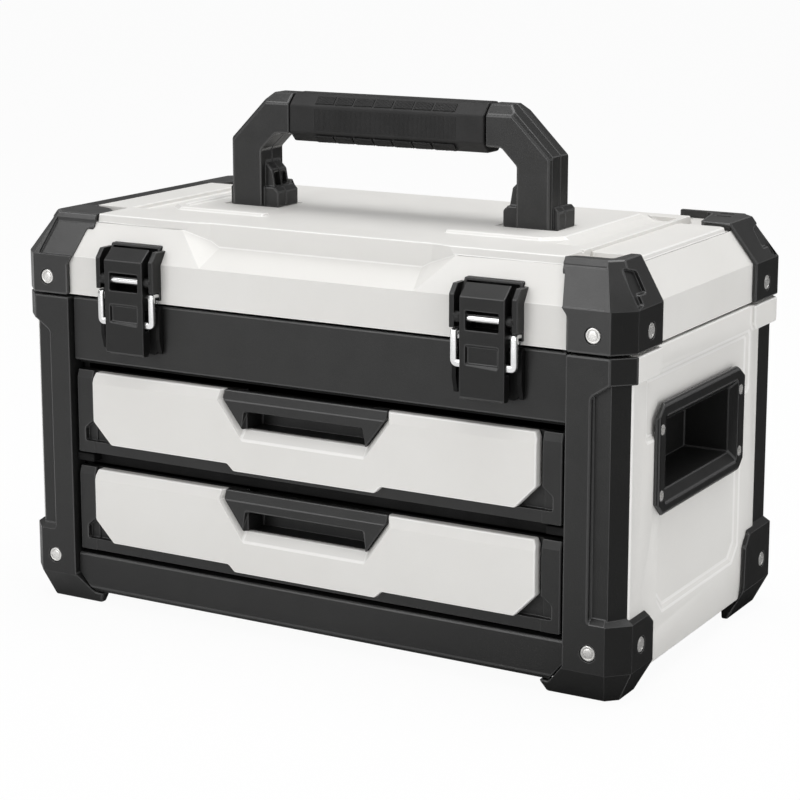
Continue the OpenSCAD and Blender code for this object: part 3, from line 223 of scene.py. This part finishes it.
def spread(tree, value, low, high):
    """Maps the middle part of a noise to a range."""
    ramp = tree.nodes.new("ShaderNodeMapRange")
    ramp.inputs["From Min"].default_value = 0.3
    ramp.inputs["From Max"].default_value = 0.7
    ramp.inputs["To Min"].default_value = low
    ramp.inputs["To Max"].default_value = high
    tree.links.new(value, ramp.inputs["Value"])
    return ramp.outputs["Result"]


def new_finish(name):
    """A new material, its node tree and its shader."""
    finish = bpy.data.materials.new(name)
    finish.use_nodes = True
    return finish, finish.node_tree, finish.node_tree.nodes["Principled BSDF"]


def tinted(tree, shader, low, high, fac):
    """Colours the shader between two tones."""
    mix = tree.nodes.new("ShaderNodeMix")
    mix.data_type = "RGBA"
    mix.inputs[COLOUR_A].default_value = (*low, 1)
    mix.inputs[COLOUR_B].default_value = (*high, 1)
    tree.links.new(fac, mix.inputs[0])
    tree.links.new(mix.outputs[COLOUR_OUT], shader.inputs["Base Color"])


def grain(tree, shader, heights, depth):
    """heights is a list of (noise scale, share); depth is the bump's depth in metres."""
    total = None
    for scale, share in heights:
        part = tree.nodes.new("ShaderNodeMath")
        part.operation = "MULTIPLY_ADD"
        part.inputs[1].default_value = share
        tree.links.new(noise(tree, scale, 2.0), part.inputs[0])
        if total is None:
            part.inputs[2].default_value = 0
        else:
            tree.links.new(total, part.inputs[2])
        total = part.outputs[0]
    bump = tree.nodes.new("ShaderNodeBump")
    bump.inputs["Strength"].default_value = 1.0
    bump.inputs["Distance"].default_value = depth
    tree.links.new(total, bump.inputs["Height"])
    tree.links.new(bump.outputs["Normal"], shader.inputs["Normal"])


def edge_highlight_and_polish(tree, shader, rough, edge):
    """Lets the faces marked as rounded edges take their own roughness and a lighter colour, a painted
    highlight.
    """
    colour, smoothness = edge
    mark = tree.nodes.new("ShaderNodeAttribute")
    mark.attribute_name = "edge"
    mix = tree.nodes.new("ShaderNodeMix")
    mix.data_type = "RGBA"
    tree.links.new(mark.outputs["Fac"], mix.inputs[0])
    tree.links.new(shader.inputs["Base Color"].links[0].from_socket, mix.inputs[COLOUR_A])
    mix.inputs[COLOUR_B].default_value = (*colour, 1)
    tree.links.new(mix.outputs[COLOUR_OUT], shader.inputs["Base Color"])
    smooth = tree.nodes.new("ShaderNodeMix")
    tree.links.new(mark.outputs["Fac"], smooth.inputs[0])
    tree.links.new(rough, smooth.inputs[VALUE_A])
    smooth.inputs[VALUE_B].default_value = smoothness
    return smooth.outputs[VALUE_OUT]


def moulded(name, dark, light, gloss, heights, depth, shine=0.5, edge=None):
    """gloss is the range of roughness; edge is (colour, roughness) of the rounded edges, which are
    rubbed smoother than the grain beside them; their lighter colour is a painted highlight."""
    finish, tree, shader = new_finish(name)
    tinted(tree, shader, dark, light, spread(tree, noise(tree, 9, 4), 0, 1))
    rough = spread(tree, noise(tree, 55, 4), *gloss)
    # rounded edges: a painted highlight colour and a smoother roughness
    if edge:
        rough = edge_highlight_and_polish(tree, shader, rough, edge)
    tree.links.new(rough, shader.inputs["Roughness"])
    shader.inputs["Specular IOR Level"].default_value = shine
    grain(tree, shader, heights, depth)
    return finish


# the edge colours, lighter than each base, paint a highlight along the rounded edges
shell_white = moulded("white_moulding", (0.765, 0.752, 0.725), (0.800, 0.790, 0.765), (0.40, 0.50),
                      [(900, 0.7), (2600, 0.3)], 0.00006, edge=((0.90, 0.89, 0.87), 0.28))
frame_black = moulded("black_moulding", (0.0125, 0.0125, 0.0125), (0.0165, 0.0165, 0.016), (0.40, 0.52),
                      [(700, 0.6), (1900, 0.4)], 0.00011, 0.38, edge=((0.06, 0.06, 0.06), 0.26))
guard_black = moulded("black_guard", (0.0105, 0.0105, 0.0105), (0.0145, 0.0145, 0.014), (0.29, 0.38),
                      [(700, 0.6), (1900, 0.4)], 0.00008, 0.55, edge=((0.06, 0.06, 0.06), 0.24))
latch_black = moulded("black_latch", (0.006, 0.006, 0.006), (0.0095, 0.0095, 0.009), (0.34, 0.46),
                      [(1300, 1.0)], 0.00006, 0.3, edge=((0.045, 0.045, 0.045), 0.24))
grip_black = moulded("soft_grip", (0.009, 0.009, 0.009), (0.013, 0.0125, 0.0125), (0.50, 0.62),
                     [(1100, 0.6), (2600, 0.4)], 0.00014, 0.35)
# painted shade: a darker, duller copy of the black for the parts that lie in shade
painted_shade_black = moulded("dark_inside_painted_shade", (0.004, 0.004, 0.004), (0.006, 0.006, 0.006), (0.6, 0.75),
                      [(700, 1.0)], 0.0001, 0.2)
plastics = (shell_white, frame_black, guard_black, latch_black, grip_black, painted_shade_black)
print("plastics", [finish.name for finish in plastics])

# %% [markdown]
# ## Steel
# Bright steel is mostly a metal shader; the white bloom of a zinc plating lets a part of it scatter
# light as paint does.  Turned heads keep fine marks, so its noise is stretched along one
# axis; plated wire is smoother and only a little cloudy.


# %% Steel and plating
def bright(name, colour, gloss, metal, stretch=(1, 1, 1), marks=0.00003):
    """gloss is the range of roughness, metal the share that shines as metal, marks their depth."""
    finish, tree, shader = new_finish(name)
    shader.inputs["Metallic"].default_value = metal
    low = tuple(c * 0.9 for c in colour)
    tinted(tree, shader, low, colour, spread(tree, noise(tree, 120, 3), 0, 1))
    tree.links.new(spread(tree, noise(tree, 300, 3), *gloss), shader.inputs["Roughness"])
    turn = tree.nodes.new("ShaderNodeMapping")
    turn.inputs["Scale"].default_value = stretch
    tree.links.new(tree.nodes["place"].outputs["Object"], turn.inputs["Vector"])
    lines = tree.nodes.new("ShaderNodeTexNoise")
    lines.inputs["Scale"].default_value = 1500
    tree.links.new(turn.outputs[0], lines.inputs["Vector"])
    bump = tree.nodes.new("ShaderNodeBump")
    bump.inputs["Distance"].default_value = marks
    tree.links.new(lines.outputs["Fac"], bump.inputs["Height"])
    tree.links.new(bump.outputs["Normal"], shader.inputs["Normal"])
    return finish


screw_steel = bright("turned_steel", (0.80, 0.79, 0.77), (0.22, 0.34), 0.65, (1, 1, 0.1))
plated_wire = bright("bright_plating", (0.82, 0.82, 0.82), (0.16, 0.26), 0.9, marks=0.00001)
finishes = {"shell_white": shell_white, "frame_black": frame_black, "latch_black": latch_black,
            "grip_rubber": grip_black, "screw_steel": screw_steel, "plated_wire": plated_wire}
print("metals", screw_steel.name, plated_wire.name)

# %% [markdown]
# ## Every solid gets its finish
# The record says which material slot each node belongs to, so one loop dresses the whole box.  Trays,
# runners and catches lie in shade, so their black is painted darker and duller: painted shade.

# %% Dress the nodes
slots = {part["node"]: part["material_slot"] for part in frame["record"]["subparts"]}


def dress(piece, finish):
    piece.data.materials.clear()
    piece.data.materials.append(finish)


# the parts that lie in shade, which get the painted shade black
shaded = ("latch_catch_left", "latch_catch_right", "base_plate", "well_tray", "divider_strip",
          "runner_cheeks", "upper_tray", "lower_tray")
for name, piece in nodes.items():
    dress(piece, painted_shade_black if name in shaded else finishes[slots[name]])
print("dressed", len(nodes), "nodes")

# %% [markdown]
# ## Soft edges
# No moulding has knife edges.  The tool that cuts the mould is round, and the light that runs along
# a rounded edge is what makes plastic look like plastic.  Each visible moulding is copied, its
# loose triangles are merged and made large faces again, and a small bevel rounds what is sharper
# than 25 degrees.  The copy stands for the node.


# %% Round the edges of a moulding
WELD = 0.00002               # points closer than this are one
FLAT = math.radians(1.0)     # faces that meet at less than this are one
NEIGHBOUR_SHARE = 0.42       # how much of a short edge beside it a bevel may take up
COVER_LIMIT = 0.0005
BAND_SEAM, BAND_HALF = 0.0009, 0.16
SLEEVE_SEAM, SLEEVE_HALF = 0.0008, 0.07
FRAME_SEAM, FRAME_END = 0.0022, 0.008
TONGUE_END = 0.146


def merged(mesh, large_faces):
    """Joins the loose triangles of a solid; with large_faces, flat neighbours become one face."""
    form = bmesh.new()
    form.from_mesh(mesh)
    bmesh.ops.remove_doubles(form, verts=form.verts, dist=WELD)
    if large_faces:
        bmesh.ops.dissolve_limit(form, angle_limit=FLAT, verts=form.verts, edges=form.edges)
    bmesh.ops.recalc_face_normals(form, faces=form.faces)
    form.to_mesh(mesh)
    form.free()


def weigh(mesh, width, sharp):
    """Gives each sharp edge its share of the width: less where a short edge starts beside it."""
    form = bmesh.new()
    form.from_mesh(mesh)
    share = form.edges.layers.float.new("bevel_weight_edge")
    for edge in form.edges:
        if len(edge.link_faces) == 2 and edge.calc_face_angle(0) > math.radians(sharp):
            near = min(k.calc_length() for v in edge.verts for k in v.link_edges)
            edge[share] = min(1, NEIGHBOUR_SHARE * near / width)
    form.to_mesh(mesh)
    form.free()


def rounded(name, mesh, width, sharp):
    """Bevels the sharp edges and marks the new faces in the attribute "edge"."""
    weigh(mesh, width, sharp)
    piece = bpy.data.objects.new("soft_" + name, mesh)
    bpy.context.collection.objects.link(piece)
    rounding = piece.modifiers.new("rounding", "BEVEL")
    rounding.width = width
    rounding.segments = 2
    rounding.limit_method = "WEIGHT"
    rounding.miter_outer = "MITER_ARC"
    rounding.use_clamp_overlap = False
    rounding.harden_normals = True
    rounding.material = 1
    seen = piece.evaluated_get(bpy.context.evaluated_depsgraph_get())
    done = bpy.data.meshes.new_from_object(seen)
    piece.modifiers.clear()
    piece.data = done
    # the bevel's faces, which the finishes paint lighter as a painted highlight
    highlight_edge_faces = done.attributes.new("edge", "FLOAT", "FACE")
    highlight_edge_faces.data.foreach_set("value", [float(f.material_index == 1) for f in done.polygons])
    done.polygons.foreach_set("material_index", [0] * len(done.polygons))
    return piece


def cover_error(mesh):
    """How far the drawn triangles differ in area from the faces: a large face round an opening may
    get filled in, and then its triangles cover more than the face itself."""
    mesh.calc_loop_triangles()
    drawn = sum(t.area for t in mesh.loop_triangles)
    return abs(drawn / sum(f.area for f in mesh.polygons) - 1)


def trim(name, mesh):
    """Small fits: the seams at the ends of the band, the drawer frames and the grip open a little, and
    the rear guards' tongues end 17 mm shorter."""
    reach = max(v.co.x for v in mesh.vertices)
    for v in mesh.vertices:
        if name == "front_band":
            v.co.x *= 1 - BAND_SEAM / BAND_HALF
        if name.endswith("er_frame") and abs(v.co.x) > reach - FRAME_END:
            v.co.x -= math.copysign(FRAME_SEAM * (abs(v.co.x) - reach + FRAME_END) / FRAME_END, v.co.x)
        if name == "handle_sleeve":
            v.co.x *= 1 - SLEEVE_SEAM / SLEEVE_HALF
        if name.startswith("guard_rear"):
            v.co.x = math.copysign(max(abs(v.co.x), TONGUE_END), v.co.x)


def soft_copy(name, width, sharp=25):
    """The rounded copy of a node.  Large faces give the cleanest bevels, so they are tried first."""
    for large_faces in (True, False):
        mesh = nodes[name].data.copy()
        mesh.materials.append(finishes[slots[name]])
        merged(mesh, large_faces)
        trim(name, mesh)
        piece = rounded(name, mesh, width, sharp)
        if cover_error(piece.data) < COVER_LIMIT or not large_faces:
            break
        bpy.data.objects.remove(piece)
    dress(piece, guard_black if name.startswith("guard_") else nodes[name].data.materials[0])
    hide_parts(name)
    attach(piece, owner[name])
    return piece


softened = {}
# width of the rounding in metres, by a word in the node's name; the widest that fits counts
widths = {"lid": 0.0008, "side_panel": 0.0010, "back_panel": 0.0008, "fascia": 0.0010, "post_": 0.0012,
          "guard_": 0.0012, "frame": 0.0009, "pull": 0.0009, "band": 0.0009, "rail": 0.0009,
          "side_handle": 0.0010, "latch_lever": 0.0006, "latch_housing": 0.0005, "latch_catch": 0.0004,
          "shell": 0.0012, "sleeve": 0.0012, "strip": 0.0009}
for name in nodes:
    width = max([w for key, w in widths.items() if key in name and "screws" not in name], default=0)
    if width:
        softened[name] = soft_copy(name, width)
print("softened", len(softened), "mouldings,", sum(len(p.data.polygons) for p in softened.values()), "faces")

# %% [markdown]
# ## Turned screw heads
# The corners are held by bright screws with a ring turned into the head.  On a lathe such a head is
# one profile drawn round the axis, and that is how it is built here.  One head is modelled, and
# Geometry Nodes sets it on every seat, each turned by its own chance angle.


# %% Profiles and placing
SEAT_SEED = 7
LARGEST_TURN = 3.14


def lathe(name, profile, steps=48):
    """A closed solid turned round +Z from (radius, height) pairs that start and end on the axis."""
    form = bmesh.new()
    rings = []
    for radius, height in profile:
        if radius == 0:
            rings.append([form.verts.new((0, 0, height))])
        else:
            rings.append([form.verts.new((radius * math.cos(2 * math.pi * k / steps),
                                          radius * math.sin(2 * math.pi * k / steps), height))
                          for k in range(steps)])
    for low, high in zip(rings, rings[1:]):
        for k in range(steps):
            n = (k + 1) % steps
            face = [low[k % len(low)], low[n % len(low)], high[n % len(high)], high[k % len(high)]]
            form.faces.new(list(dict.fromkeys(face)))
    bmesh.ops.recalc_face_normals(form, faces=form.faces)
    mesh = bpy.data.meshes.new(name)
    form.to_mesh(mesh)
    form.free()
    mesh.shade_smooth()
    mesh.set_sharp_from_angle(angle=math.radians(38))
    piece = bpy.data.objects.new(name, mesh)
    bpy.context.collection.objects.link(piece)
    return piece


def seat_nodes():
    """Geometry Nodes group: stands a model on every point, along the point's own direction."""
    group = bpy.data.node_groups.new("set_on_seats", "GeometryNodeTree")
    face = group.interface
    face.new_socket("Geometry", in_out="INPUT", socket_type="NodeSocketGeometry")
    face.new_socket("Model", in_out="INPUT", socket_type="NodeSocketObject")
    face.new_socket("Finish", in_out="INPUT", socket_type="NodeSocketMaterial")
    seed = face.new_socket("Seed", in_out="INPUT", socket_type="NodeSocketInt")
    seed.default_value = SEAT_SEED
    turn = face.new_socket("Largest turn", in_out="INPUT", socket_type="NodeSocketFloat")
    turn.default_value = LARGEST_TURN
    face.new_socket("Geometry", in_out="OUTPUT", socket_type="NodeSocketGeometry")
    add, link = group.nodes.new, group.links.new
    start, end = add("NodeGroupInput"), add("NodeGroupOutput")
    way = add("GeometryNodeInputNamedAttribute")
    way.data_type = "FLOAT_VECTOR"
    way.inputs["Name"].default_value = "way"
    aim = add("FunctionNodeAlignRotationToVector")
    aim.axis = "Z"
    link(way.outputs["Attribute"], aim.inputs["Vector"])
    chance = add("FunctionNodeRandomValue")
    chance.data_type = "FLOAT"
    chance.inputs[2].default_value = 0
    link(start.outputs["Largest turn"], chance.inputs[3])
    link(start.outputs["Seed"], chance.inputs["Seed"])
    spin = add("FunctionNodeAxisAngleToRotation")
    spin.inputs["Axis"].default_value = (0, 0, 1)
    link(chance.outputs[1], spin.inputs["Angle"])
    both = add("FunctionNodeRotateRotation")
    both.rotation_space = "LOCAL"
    link(aim.outputs[0], both.inputs["Rotation"])
    link(spin.outputs[0], both.inputs["Rotate By"])
    model = add("GeometryNodeObjectInfo")
    link(start.outputs["Model"], model.inputs["Object"])
    put = add("GeometryNodeInstanceOnPoints")
    link(start.outputs["Geometry"], put.inputs["Points"])
    link(model.outputs["Geometry"], put.inputs["Instance"])
    link(both.outputs[0], put.inputs["Rotation"])
    real = add("GeometryNodeRealizeInstances")
    link(put.outputs[0], real.inputs[0])
    paint = add("GeometryNodeSetMaterial")
    link(real.outputs[0], paint.inputs["Geometry"])
    link(start.outputs["Finish"], paint.inputs["Material"])
    link(paint.outputs[0], end.inputs[0])
    return group


seats_group = seat_nodes()


def run_nodes(name, group, mesh, settings):
    """Runs a Geometry Nodes group on a mesh and returns the result as a plain mesh object."""
    holder = bpy.data.objects.new(name, mesh)
    bpy.context.collection.objects.link(holder)
    maker = holder.modifiers.new("maker", "NODES")
    maker.node_group = group
    for socket in group.interface.items_tree:
        if socket.in_out == "INPUT" and socket.name in settings:
            maker[socket.identifier] = settings[socket.name]
    holder.update_tag()
    bpy.context.view_layer.update()
    seen = holder.evaluated_get(bpy.context.evaluated_depsgraph_get())
    done = bpy.data.meshes.new_from_object(seen)
    holder.modifiers.clear()
    holder.data = done
    return holder


def seats(name, places, model, finish, seed=SEAT_SEED):
    """Sets the model on places, a list of (point, direction) in metres."""
    mesh = bpy.data.meshes.new(name)
    mesh.from_pydata([p for p, _ in places], [], [])
    way = mesh.attributes.new("way", "FLOAT_VECTOR", "POINT")
    way.data.foreach_set("vector", [c for _, d in places for c in d])
    return run_nodes(name, seats_group, mesh, {
        "Model": model, "Finish": finish, "Seed": seed, "Largest turn": LARGEST_TURN})


print("placing group", seats_group.name)

# %% Corner screws
MM = 0.001
Y0 = -117.0             # the front posts' face lies this far before the middle
HALF_WIDTH = 210
DEPTH = 236
CORNER_SCREW_X = 188
CORNER_SCREW_SEAT = 1.6


def spot(x, y, z):
    """A place in the frame from millimetres, with y counted from the front posts' face."""
    return (x * MM, (y + Y0) * MM, z * MM)


def corner_spots(z_front, y_side, z_side):
    """The seats of one storey: front, rear and both sides."""
    places = []
    for sx in (1, -1):
        x = sx * CORNER_SCREW_X
        places.append((spot(x, CORNER_SCREW_SEAT, z_front), (0, -1, 0)))
        places.append((spot(x, DEPTH - CORNER_SCREW_SEAT, z_front), (0, 1, 0)))
        for y in (y_side, DEPTH - y_side):
            places.append((spot(sx * (HALF_WIDTH - CORNER_SCREW_SEAT), y, z_side), (sx, 0, 0)))
    return places


turned = [(0, 0.05), (3.0, 0.05), (4.35, 0.05), (4.5, 0.2), (4.5, 1.0), (4.36, 1.24), (4.1, 1.36),
          (3.6, 1.38), (3.42, 1.3), (3.36, 1.02), (3.26, 0.92), (3.0, 0.92), (2.9, 1.02), (2.84, 1.26),
          (2.7, 1.34), (1.8, 1.4), (0.9, 1.43), (0, 1.44)]
storeys = {"case_screws": corner_spots(z_front=30, y_side=24.4, z_side=32),
           "lid_screws": corner_spots(z_front=211, y_side=30, z_side=211)}
head = lathe("turned_head", [(r * MM, z * MM) for r, z in turned])
dress(head, screw_steel)
for name, places in storeys.items():
    piece = seats("bright_" + name, places, head, screw_steel)
    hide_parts(name)
    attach(piece, owner[name])
    print(piece.name, len(piece.data.polygons), "faces")
bpy.data.objects.remove(head)

# %% [markdown]
# The screws of the side handles are smaller and have a hexagon socket, so that they stay out of the
# way of the fingers and still take a firm key.  The socket is a second ring of points inside the head.


# %% Socket screws of the side handles
HANDLE_SCREW_SEAT = 1.35
HANDLE_SCREW_Y = (48.6, 167.2)
HANDLE_SCREW_Z = (112.6, 151)


def socket_head(name, radius, height, key, depth):
    """Round head with a hexagon socket: rings of 48 points, the inner ones laid on a hexagon."""
    steps = 48
    form = bmesh.new()

    def ring(size, z, hexed):
        made = []
        for k in range(steps):
            turn = 2 * math.pi * k / steps
            reach = size
            if hexed:
                side = (turn + math.pi / 6) % (math.pi / 3) - math.pi / 6
                reach = size * math.cos(math.pi / 6) / math.cos(side)
            made.append(form.verts.new((reach * math.cos(turn), reach * math.sin(turn), z)))
        return made

    rings = [ring(radius, 0, False), ring(radius, height * 0.72, False),
             ring(radius * 0.95, height * 0.93, False), ring(radius * 0.86, height, False),
             ring(key * 1.12, height, True), ring(key, height - 0.0001, True),
             ring(key * 0.98, height - depth, True)]
    form.faces.new(list(reversed(rings[0])))
    for low, high in zip(rings, rings[1:]):
        for k in range(steps):
            form.faces.new((low[k], low[(k + 1) % steps], high[(k + 1) % steps], high[k]))
    form.faces.new(rings[-1])
    bmesh.ops.recalc_face_normals(form, faces=form.faces)
    mesh = bpy.data.meshes.new(name)
    form.to_mesh(mesh)
    form.free()
    mesh.shade_smooth()
    mesh.set_sharp_from_angle(angle=math.radians(35))
    piece = bpy.data.objects.new(name, mesh)
    bpy.context.collection.objects.link(piece)
    return piece


head = socket_head("socket_head", 3.2 * MM, 1.25 * MM, 1.65 * MM, 0.8 * MM)
dress(head, screw_steel)
places = [(spot(sx * (HALF_WIDTH - HANDLE_SCREW_SEAT), y, z), (sx, 0, 0))
          for sx in (1, -1) for y in HANDLE_SCREW_Y for z in HANDLE_SCREW_Z]
piece = seats("bright_side_handle_screws", places, head, screw_steel, seed=11)
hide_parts("side_handle_screws")
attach(piece, owner["side_handle_screws"])
bpy.data.objects.remove(head)
print(piece.name, len(piece.data.polygons), "faces")

# %% [markdown]
# ## Ribs of the grip
# The sleeve is moulded in soft rubber.  Fine ribs on its front and back stop the hand from slipping,
# and the bevels above and below them carry wider blocks.  Both are rows of one small bar, so one
# Geometry Nodes group makes them: it lays points on a line and sets the bar on each.


# %% Rows of bars
RIB_PITCH = 0.9
RIB_BAR = (0.5, 0.3, 13.5)
BLOCK_BAR = (0.6, 6.4, 0.8)
LEAST_WEAR = 0.85


def row_nodes():
    """Geometry Nodes group: bars on a line, each worn down a little by chance, then tilted and placed."""
    group = bpy.data.node_groups.new("row_of_bars", "GeometryNodeTree")
    face = group.interface
    face.new_socket("Geometry", in_out="INPUT", socket_type="NodeSocketGeometry")
    for title, kind in (("Count", "Int"), ("Seed", "Int"), ("Pitch", "Float"), ("Thickness", "Float"),
                        ("Depth", "Float"), ("Height", "Float"), ("Wear", "Float")):
        face.new_socket(title, in_out="INPUT", socket_type="NodeSocket" + kind)
    face.new_socket("Middle", in_out="INPUT", socket_type="NodeSocketVector")
    face.new_socket("Tilt", in_out="INPUT", socket_type="NodeSocketFloat")
    face.new_socket("Finish", in_out="INPUT", socket_type="NodeSocketMaterial")
    face.new_socket("Geometry", in_out="OUTPUT", socket_type="NodeSocketGeometry")
    add, link = group.nodes.new, group.links.new
    start, end = add("NodeGroupInput"), add("NodeGroupOutput")
    size = add("ShaderNodeCombineXYZ")
    link(start.outputs["Thickness"], size.inputs["X"])
    link(start.outputs["Depth"], size.inputs["Y"])
    link(start.outputs["Height"], size.inputs["Z"])
    bar = add("GeometryNodeMeshCube")
    link(size.outputs[0], bar.inputs["Size"])
    step = add("ShaderNodeCombineXYZ")
    link(start.outputs["Pitch"], step.inputs["X"])
    line = add("GeometryNodeMeshLine")
    line.mode = "OFFSET"
    link(start.outputs["Count"], line.inputs["Count"])
    link(step.outputs[0], line.inputs["Offset"])
    highlight_edge_faces = add("FunctionNodeRandomValue")
    highlight_edge_faces.data_type = "FLOAT"
    highlight_edge_faces.inputs[3].default_value = 1.0
    link(start.outputs["Wear"], highlight_edge_faces.inputs[2])
    link(start.outputs["Seed"], highlight_edge_faces.inputs["Seed"])
    scale = add("ShaderNodeCombineXYZ")
    scale.inputs["X"].default_value = 1
    scale.inputs["Z"].default_value = 1
    link(highlight_edge_faces.outputs[1], scale.inputs["Y"])
    put = add("GeometryNodeInstanceOnPoints")
    link(line.outputs[0], put.inputs["Points"])
    link(bar.outputs["Mesh"], put.inputs["Instance"])
    link(scale.outputs[0], put.inputs["Scale"])
    real = add("GeometryNodeRealizeInstances")
    link(put.outputs[0], real.inputs[0])
    turn = add("ShaderNodeCombineXYZ")
    link(start.outputs["Tilt"], turn.inputs["X"])
    place = add("GeometryNodeTransform")
    link(real.outputs[0], place.inputs["Geometry"])
    link(start.outputs["Middle"], place.inputs["Translation"])
    link(turn.outputs[0], place.inputs["Rotation"])
    paint = add("GeometryNodeSetMaterial")
    link(place.outputs[0], paint.inputs["Geometry"])
    link(start.outputs["Finish"], paint.inputs["Material"])
    link(paint.outputs[0], end.inputs[0])
    return group


rows_group = row_nodes()


def row(count, bar, middle, tilt, seed):
    """count bars of size bar (thickness, depth, height) round a middle, in mm, tilted about X."""
    x, y, z = middle
    thickness, depth, height = bar
    start = spot(x - (count - 1) * RIB_PITCH / 2, y, z)
    return run_nodes("ribs", rows_group, bpy.data.meshes.new("ribs"), {
        "Count": count, "Seed": seed, "Pitch": RIB_PITCH * MM, "Thickness": thickness * MM,
        "Depth": depth * MM, "Height": height * MM, "Wear": LEAST_WEAR, "Middle": start,
        "Tilt": math.radians(tilt), "Finish": grip_black})


ribs = [row(112, RIB_BAR, (-0.5, y, 307.5), 0, seed=3) for y in (97.0, 123.0)]
bevels = ((100.2, 319.6, 46), (119.8, 319.6, -46), (99.6, 295.4, -42), (120.4, 295.4, 42))
blocks = [(-44, 15), (-30, 14), (-16, 15), (-2, 14), (12, 15), (26, 14), (41, 17)]
for y, z, tilt in bevels:
    for x, count in blocks:
        ribs.append(row(count, BLOCK_BAR, (x, y, z), tilt, seed=5))
bpy.ops.object.select_all(action="DESELECT")
for part in ribs:
    part.select_set(True)
bpy.context.view_layer.objects.active = ribs[0]
bpy.ops.object.join()
grip_ribs = ribs[0]
grip_ribs.name = "grip_ribs"
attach(grip_ribs, "lid")
print("grip ribs", len(grip_ribs.data.polygons), "faces")

# %% [markdown]
# ## Wire bails
# A bail is one length of flattened wire, bent over a jig: a short leg behind, an arm to the front, the
# upright leg, a tight bend, the bar behind the lever and the same again on the other side.  A rounded
# section is carried along the bent path, and two stubs join its legs to the lever.


# %% Bend the bails
LATCH_X = 123.5
LEG_X = 19.0
STUB_X = 11.4
STUB_Y, STUB_Z = -1.2, 205.6
WIRE_WIDE, WIRE_THICK = 4.2, 2.5
BEND_RADIUS = 2.2
SECTION_POINTS = 20
SECTION_SQUARENESS = 0.45    # 1 gives an ellipse, 0 a rectangle


def round_corners(points, radius, steps=6):
    """Replaces each inner corner of a path by a small arc."""
    path = [Vector(points[0])]
    for before, corner, after in zip(points, points[1:], points[2:]):
        corner = Vector(corner)
        a, b = (Vector(before) - corner), (Vector(after) - corner)
        reach = min(radius, a.length * 0.45, b.length * 0.45)
        start, end = corner + a.normalized() * reach, corner + b.normalized() * reach
        for k in range(steps + 1):
            t = k / steps
            path.append(start * (1 - t) ** 2 + corner * 2 * t * (1 - t) + end * t ** 2)
    path.append(Vector(points[-1]))
    return path


def carry(form, path, wide, thick, first_side):
    """Sweeps a rounded rectangle along a path and closes both ends."""
    section = []
    for k in range(SECTION_POINTS):
        turn = 2 * math.pi * k / SECTION_POINTS
        c, s = math.cos(turn), math.sin(turn)
        section.append((math.copysign(abs(c) ** SECTION_SQUARENESS, c) * wide / 2,
                        math.copysign(abs(s) ** SECTION_SQUARENESS, s) * thick / 2))
    side = Vector(first_side)
    rings = []
    for k, point in enumerate(path):
        ahead = (path[min(k + 1, len(path) - 1)] - path[max(k - 1, 0)]).normalized()
        side = (side - ahead * side.dot(ahead)).normalized()
        over = ahead.cross(side)
        rings.append([form.verts.new(point + side * u + over * v) for u, v in section])
    for low, high in zip(rings, rings[1:]):
        for k in range(SECTION_POINTS):
            n = (k + 1) % SECTION_POINTS
            form.faces.new((low[k], low[n], high[n], high[k]))
    form.faces.new(list(reversed(rings[0])))
    form.faces.new(rings[-1])


def bail(side):
    """The bail of the right latch (side 1) or of the left one (side -1)."""
    x = side * LATCH_X
    leg = [(2.2, 201.2), (2.4, 206.2), (-4.0, 206.9), (-3.9, 188.2)]
    right = [(x + LEG_X, y, z) for y, z in leg]
    left = [(x - LEG_X, y, z) for y, z in reversed(leg)]
    path = round_corners([spot(*p) for p in right + left], BEND_RADIUS * MM)
    form = bmesh.new()
    carry(form, path, WIRE_WIDE * MM, WIRE_THICK * MM, (1, 0, 0))
    for s in (1, -1):
        stub = [Vector(spot(x + s * reach, STUB_Y, STUB_Z)) for reach in (STUB_X, LEG_X)]
        carry(form, stub, WIRE_THICK * MM, WIRE_THICK * MM, (0, 1, 0))
    bmesh.ops.recalc_face_normals(form, faces=form.faces)
    name = "latch_bail_right" if side > 0 else "latch_bail_left"
    mesh = bpy.data.meshes.new("bent_" + name)
    form.to_mesh(mesh)
    form.free()
    mesh.shade_smooth()
    mesh.set_sharp_from_angle(angle=math.radians(50))
    piece = bpy.data.objects.new("bent_" + name, mesh)
    bpy.context.collection.objects.link(piece)
    dress(piece, plated_wire)
    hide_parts(name)
    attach(piece, owner[name])
    return piece


for side in (1, -1):
    piece = bail(side)
    print(piece.name, len(piece.data.polygons), "faces")
